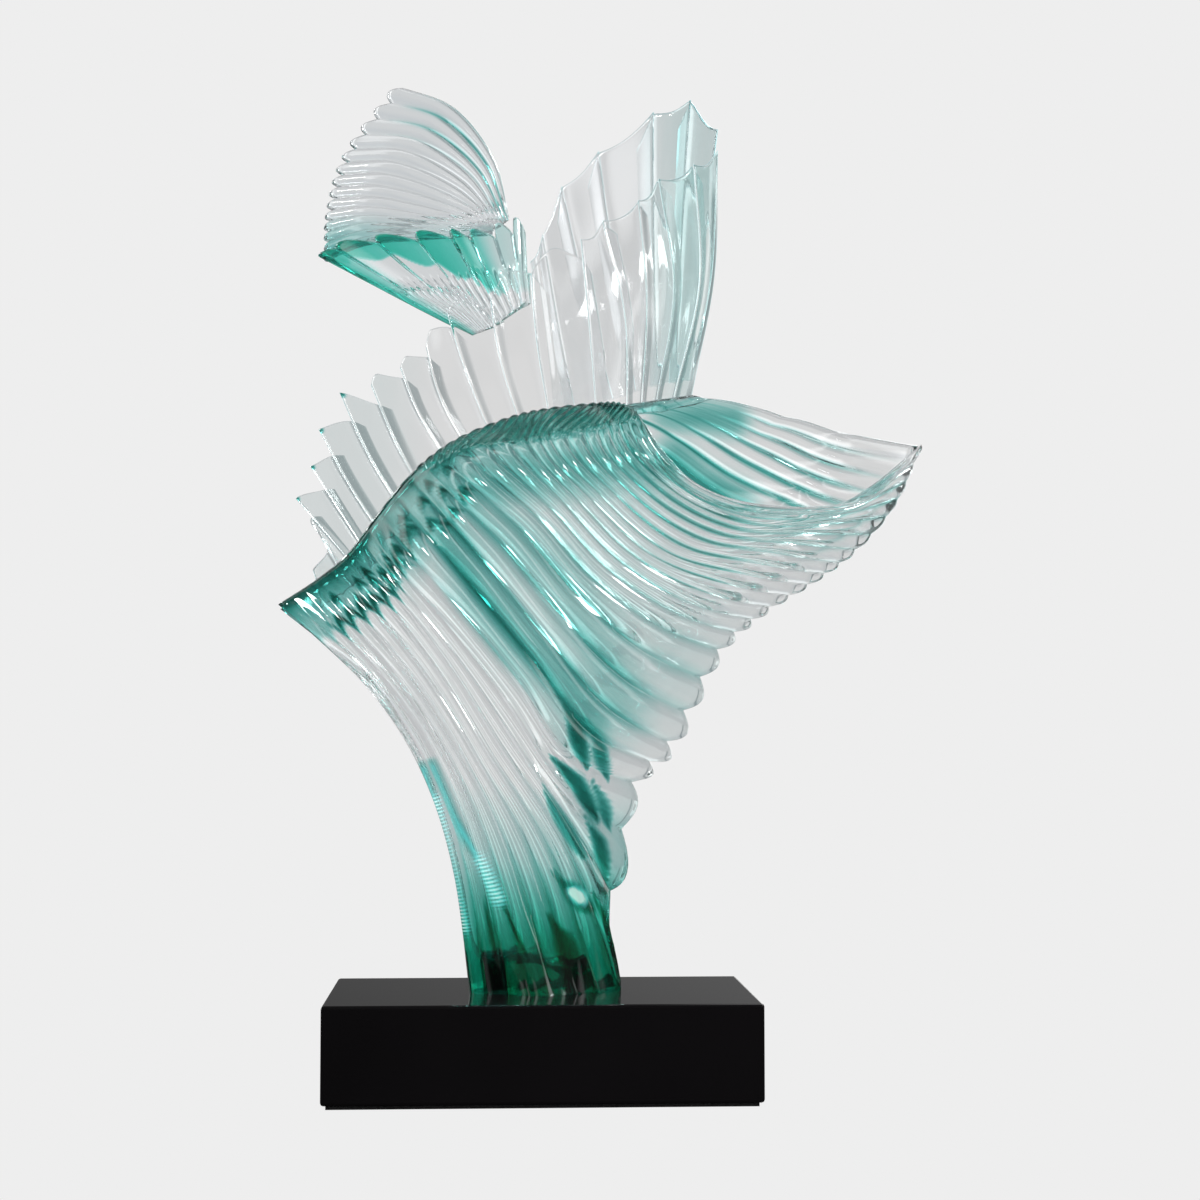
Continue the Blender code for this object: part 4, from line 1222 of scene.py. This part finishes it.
paint("wing_front_casting", front_wall_tint, foot_glints, foot_bead_glints)
paint("wing_back_casting", back_wall_tint)
paint("foot_core_casting", core_tint)
paint("lower_fan_casting", lower_fan_tint)
paint("upper_fan_casting", upper_fan_tint)
dark_tips = [f"crest_feather_{i:02d}" for i in (3, 4, 5, 6)]
# Painted highlights of their own: cyan edges on the first crest plates and the petal's last plate, and
# glints along two right edges
own_highlights = {f"crest_feather_{i:02d}": painted_cyan_edge for i in (1, 2, 3)}
own_highlights["petal_feather_01"] = painted_right_cyan_edge
own_glints = {"petal_feather_01": right_edge_glints, "crest_feather_17": right_edge_glints}
for name in castings:
    if "feather" in name:
        tint_rule = tip_tint if name in dark_tips else feather_tint
        paint(name, tint_rule, own_highlights.get(name, painted_edge_highlight), own_glints.get(name, none_of_it))
print("castings painted:", len(castings))

# %% [markdown]
# ## Streaks, shared by the resins
# All the castings are of the same kind of resin, with another clear tone, dye and rib count. What
# they share is one shader group. It turns the painted attributes into a colour, a roughness and a
# glow, and the glow is painted light: highlights and glints that the resin shows as if lit. Clear
# resin darkens with depth as one sheet of tinted film on another does, so the colour of the dye is
# raised to a power, which a Gamma node does: twice the tint lets through the square of the light.
# Long thin noise along flow makes the streaks, and the dye turns a purer green low in the foot.

# %% Streaks group
WING_GREEN = (0.085, 0.43, 0.385, 1)
FAN_GREEN = (0.045, 0.62, 0.47, 1)
FOOT_GREEN = (0.040, 0.46, 0.335, 1)
FOOT_GREEN_FROM = 0.10
FOOT_GREEN_FULL = 0.03
SWIRLS_PER_RIB = 4.0
SWIRLS_ALONG = 4.0
UNEVENNESS = 4.0
DYE_POWER = 2.0
POLISH = (0.03, 0.09)
BEAD_GLINTS_ALONG = 1000.0
BEAD_GLINT_GAP = 0.1
# Colours of the painted highlight glow, from none through cyan to white
PAINTED_GLOW_COLOURS = ((0.0, (0, 0, 0)), (0.3, (0.10, 0.45, 0.48)), (1.0, (0.95, 1.0, 1.0)))

streaks = bpy.data.node_groups.new("streaks_along_the_ribs", "ShaderNodeTree")
for name, kind in (("Colour", "Color"), ("Roughness", "Float"), ("Glow", "Color")):
    streaks.interface.new_socket(name=name, in_out="OUTPUT", socket_type=f"NodeSocket{kind}")
for name, kind in (("Ribs", "Float"), ("Streakiness", "Float"), ("Dye", "Color"), ("Clear", "Color")):
    streaks.interface.new_socket(name=name, in_out="INPUT", socket_type=f"NodeSocket{kind}")
given = node(streaks, "NodeGroupInput").outputs
tint, edge, bead_glints, flow = [node(streaks, "ShaderNodeAttribute", attribute_name=name).outputs
                           for name in ("tint", "edge", "bead_glints", "flow")]
split = node(streaks, "ShaderNodeSeparateXYZ", Vector=flow["Vector"]).outputs
across = math_node(streaks, "MULTIPLY", split["X"], given["Ribs"])
across = math_node(streaks, "MULTIPLY", across, SWIRLS_PER_RIB)
along = math_node(streaks, "MULTIPLY", split["Y"], SWIRLS_ALONG)
long_thin = node(streaks, "ShaderNodeCombineXYZ", X=across, Y=along, Z=split["Z"]).outputs["Vector"]
swirl = node(streaks, "ShaderNodeTexNoise", Vector=long_thin, Scale=1.0, Detail=3.0, Roughness=0.6)
swirl = swirl.outputs["Fac"]

# %% Colour, polish and painted glow of the group
uneven = math_node(streaks, "SUBTRACT", swirl, 0.5)
amount = math_node(streaks, "MULTIPLY", given["Streakiness"], UNEVENNESS)
uneven = math_node(streaks, "MULTIPLY", uneven, amount)
depth = math_node(streaks, "MULTIPLY", tint["Fac"], math_node(streaks, "ADD", uneven, 1.0))
place = node(streaks, "ShaderNodeTexCoord").outputs["Object"]
height = node(streaks, "ShaderNodeSeparateXYZ", Vector=place).outputs["Z"]
low = node(streaks, "ShaderNodeMapRange", Value=height,
           From_Min=PLINTH_TOP + FOOT_GREEN_FROM, From_Max=PLINTH_TOP + FOOT_GREEN_FULL).outputs["Result"]
dye = mixed(streaks, low, given["Dye"], FOOT_GREEN)
dyed = node(streaks, "ShaderNodeGamma", Color=dye, Gamma=math_node(streaks, "MULTIPLY", depth, DYE_POWER))
colour = mixed(streaks, 1.0, given["Clear"], dyed.outputs["Color"], blend="MULTIPLY")
polish = node(streaks, "ShaderNodeMapRange", Value=swirl, To_Min=POLISH[0], To_Max=POLISH[1])
# Painted highlights: the air-bubble glints glow in dashes along the slab, edge glows whole, and the
# brighter picks a colour from cyan to white
wave = math_node(streaks, "SINE", math_node(streaks, "MULTIPLY", split["Y"], BEAD_GLINTS_ALONG))
glint_dashes = math_node(streaks, "MULTIPLY", bead_glints["Fac"], math_node(streaks, "GREATER_THAN", wave, BEAD_GLINT_GAP))
glow = ramp(streaks, math_node(streaks, "MAXIMUM", edge["Fac"], glint_dashes), PAINTED_GLOW_COLOURS)
node(streaks, "NodeGroupOutput", Colour=colour, Roughness=polish.outputs["Result"], Glow=glow)
print("streaks group:", len(streaks.nodes), "nodes")

# %% [markdown]
# ## Resin
# Castings such as these are polished until the resin lets nearly all light through and bends it
# as glass does. A Glass shader could do that, but the Principled shader at full transmission also
# takes a coat, which adds a second, harder gloss, and an emission for the painted highlights, a faint
# glow on the bright edges and glints. The crest gets hardly any coat, since its plates stand behind
# each other and would turn dull. Each casting hides the CAD node whose place it takes.

# %% Resins
RESIN_IOR = 1.49
COAT_IOR = 1.45
COAT_ROUGHNESS = 0.02
PAINTED_GLOW_STRENGTH = 0.45
WING_CLEAR = (0.948, 0.960, 0.960, 1)
CREST_CLEAR = (0.996, 0.996, 0.994, 1)
PETAL_CLEAR = (0.910, 0.924, 0.933, 1)
FAN_CLEAR = (0.918, 0.943, 0.952, 1)


def resin(name, ribs, streakiness, dye, clear, coat):
    """Polished cast resin that goes from clear to deep green with the tint attribute."""
    material, tree, shader = new_material(name)
    effect = node(tree, "ShaderNodeGroup", node_tree=streaks,
                  Ribs=ribs, Streakiness=streakiness, Dye=dye, Clear=clear).outputs
    set_up(shader, Transmission_Weight=1, IOR=RESIN_IOR)
    set_up(shader, Coat_Weight=coat, Coat_IOR=COAT_IOR, Coat_Roughness=COAT_ROUGHNESS)
    set_up(shader, Base_Color=effect["Colour"], Roughness=effect["Roughness"])
    # Painted highlights: edges, glints and air bubbles glow by emission, not by any lamp
    set_up(shader, Emission_Color=effect["Glow"], Emission_Strength=PAINTED_GLOW_STRENGTH)
    return material


wing_resin = resin("wing_resin", WING_RIBS, 0.35, WING_GREEN, WING_CLEAR, 0.6)
own_resin = {
    "wing": wing_resin,
    "foot": wing_resin,
    "crest": resin("crest_resin", 3, 0.2, WING_GREEN, CREST_CLEAR, 0.1),
    "petal": resin("petal_resin", 3, 0.2, WING_GREEN, PETAL_CLEAR, 0.5),
    "upper": resin("upper_fan_resin", UPPER_FINE_RIBS, 0.15, WING_GREEN, FAN_CLEAR, 0.6),
    "lower": resin("lower_fan_resin", LOWER_FAN_RIBS, 0.10, FAN_GREEN, FAN_CLEAR, 0.6),
}

# %% Each casting in the place of its CAD node
replaced = {
    "wing_front_casting": "wing_front",
    "foot_core_casting": "foot_core",
    "wing_back_casting": "wing_back",
    "lower_fan_casting": "fan_lower",
    "upper_fan_casting": "fan_upper",
}
for name, casting in castings.items():
    kind = name.split("_")[0]
    casting.data.materials.append(own_resin[kind])
    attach(casting, "root")
    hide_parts(replaced.get(name, name.replace("feather", "plate")))
print("castings in place of CAD nodes:", len(castings))

# %% [markdown]
# ## The plinth and the hidden fixings
# The plinth is a block with a black lacquer, polished but not quite even: a slow noise varies its
# black and its gloss a little. The felt, the steel screws and washers and the blackened brass
# inserts are all but hidden. Their CAD shapes are right as they are, so they only get a finish, and
# one function makes all three, since each is two tones of fine speckle with a fine relief.

# %% Lacquer
LACQUER_GLOSS = (0.06, 0.11)
LACQUER_SHEEN = 0.12
BLACKS = ((0.3, (0.005, 0.0045, 0.005)), (0.7, (0.008, 0.007, 0.008)))

lacquer, tree, shader = new_material("black_lacquer")
place = node(tree, "ShaderNodeTexCoord").outputs["Object"]
grain = node(tree, "ShaderNodeTexNoise", Vector=place, Scale=6.0, Detail=4.0).outputs["Fac"]
gloss = node(tree, "ShaderNodeMapRange", Value=grain, To_Min=LACQUER_GLOSS[0], To_Max=LACQUER_GLOSS[1])
set_up(shader, Base_Color=ramp(tree, grain, BLACKS), Roughness=gloss.outputs["Result"])
set_up(shader, Specular_IOR_Level=LACQUER_SHEEN)

# %% Felt, steel and brass
SPECKLE_TONES = (0.35, 0.65)
SPECKLE_HEIGHT = 0.0004


def speckled(name, scale, dark, light, roughness, metallic, bump):
    """A finish with fine speckles of two tones and a fine relief."""
    material, tree, shader = new_material(name)
    place = node(tree, "ShaderNodeTexCoord").outputs["Object"]
    speckle = node(tree, "ShaderNodeTexNoise", Vector=place, Scale=scale, Detail=3.0).outputs["Fac"]
    relief = node(tree, "ShaderNodeBump", Strength=bump, Distance=SPECKLE_HEIGHT, Height=speckle)
    set_up(shader, Base_Color=ramp(tree, speckle, tuple(zip(SPECKLE_TONES, (dark, light)))))
    set_up(shader, Metallic=metallic, Roughness=roughness, Normal=relief.outputs["Normal"])
    return material


felt = speckled("felt", 900, (0.012, 0.012, 0.012), (0.03, 0.03, 0.031), 0.95, 0.0, 0.8)
steel = speckled("steel", 500, (0.42, 0.42, 0.43), (0.52, 0.52, 0.53), 0.32, 1.0, 0.1)
brass = speckled("blackened_brass", 500, (0.020, 0.019, 0.015), (0.045, 0.04, 0.03), 0.45, 1.0, 0.1)
finishes = {"plinth": lacquer, "felt": felt, "fixing": steel, "washer": steel, "insert": brass}
for name, cad_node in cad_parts.items():
    finish = finishes.get(name.split("_")[0])
    if finish:
        cad_node.data.materials.clear()
        cad_node.data.materials.append(finish)
print("finishes go by the first word of a CAD node's name:", sorted(finishes))

# %% [markdown]
# ## Bounces
# Light passes through up to a dozen walls of resin on its way to the camera, and each wall has two
# faces, so far more bounces are allowed than usual. Caustics stay off: they would be bright noise.

# %% Bounces
cycles = bpy.context.scene.cycles
cycles.max_bounces = 32
cycles.transmission_bounces = 32
cycles.glossy_bounces = 12
cycles.transparent_max_bounces = 16
cycles.caustics_reflective = False
cycles.caustics_refractive = False
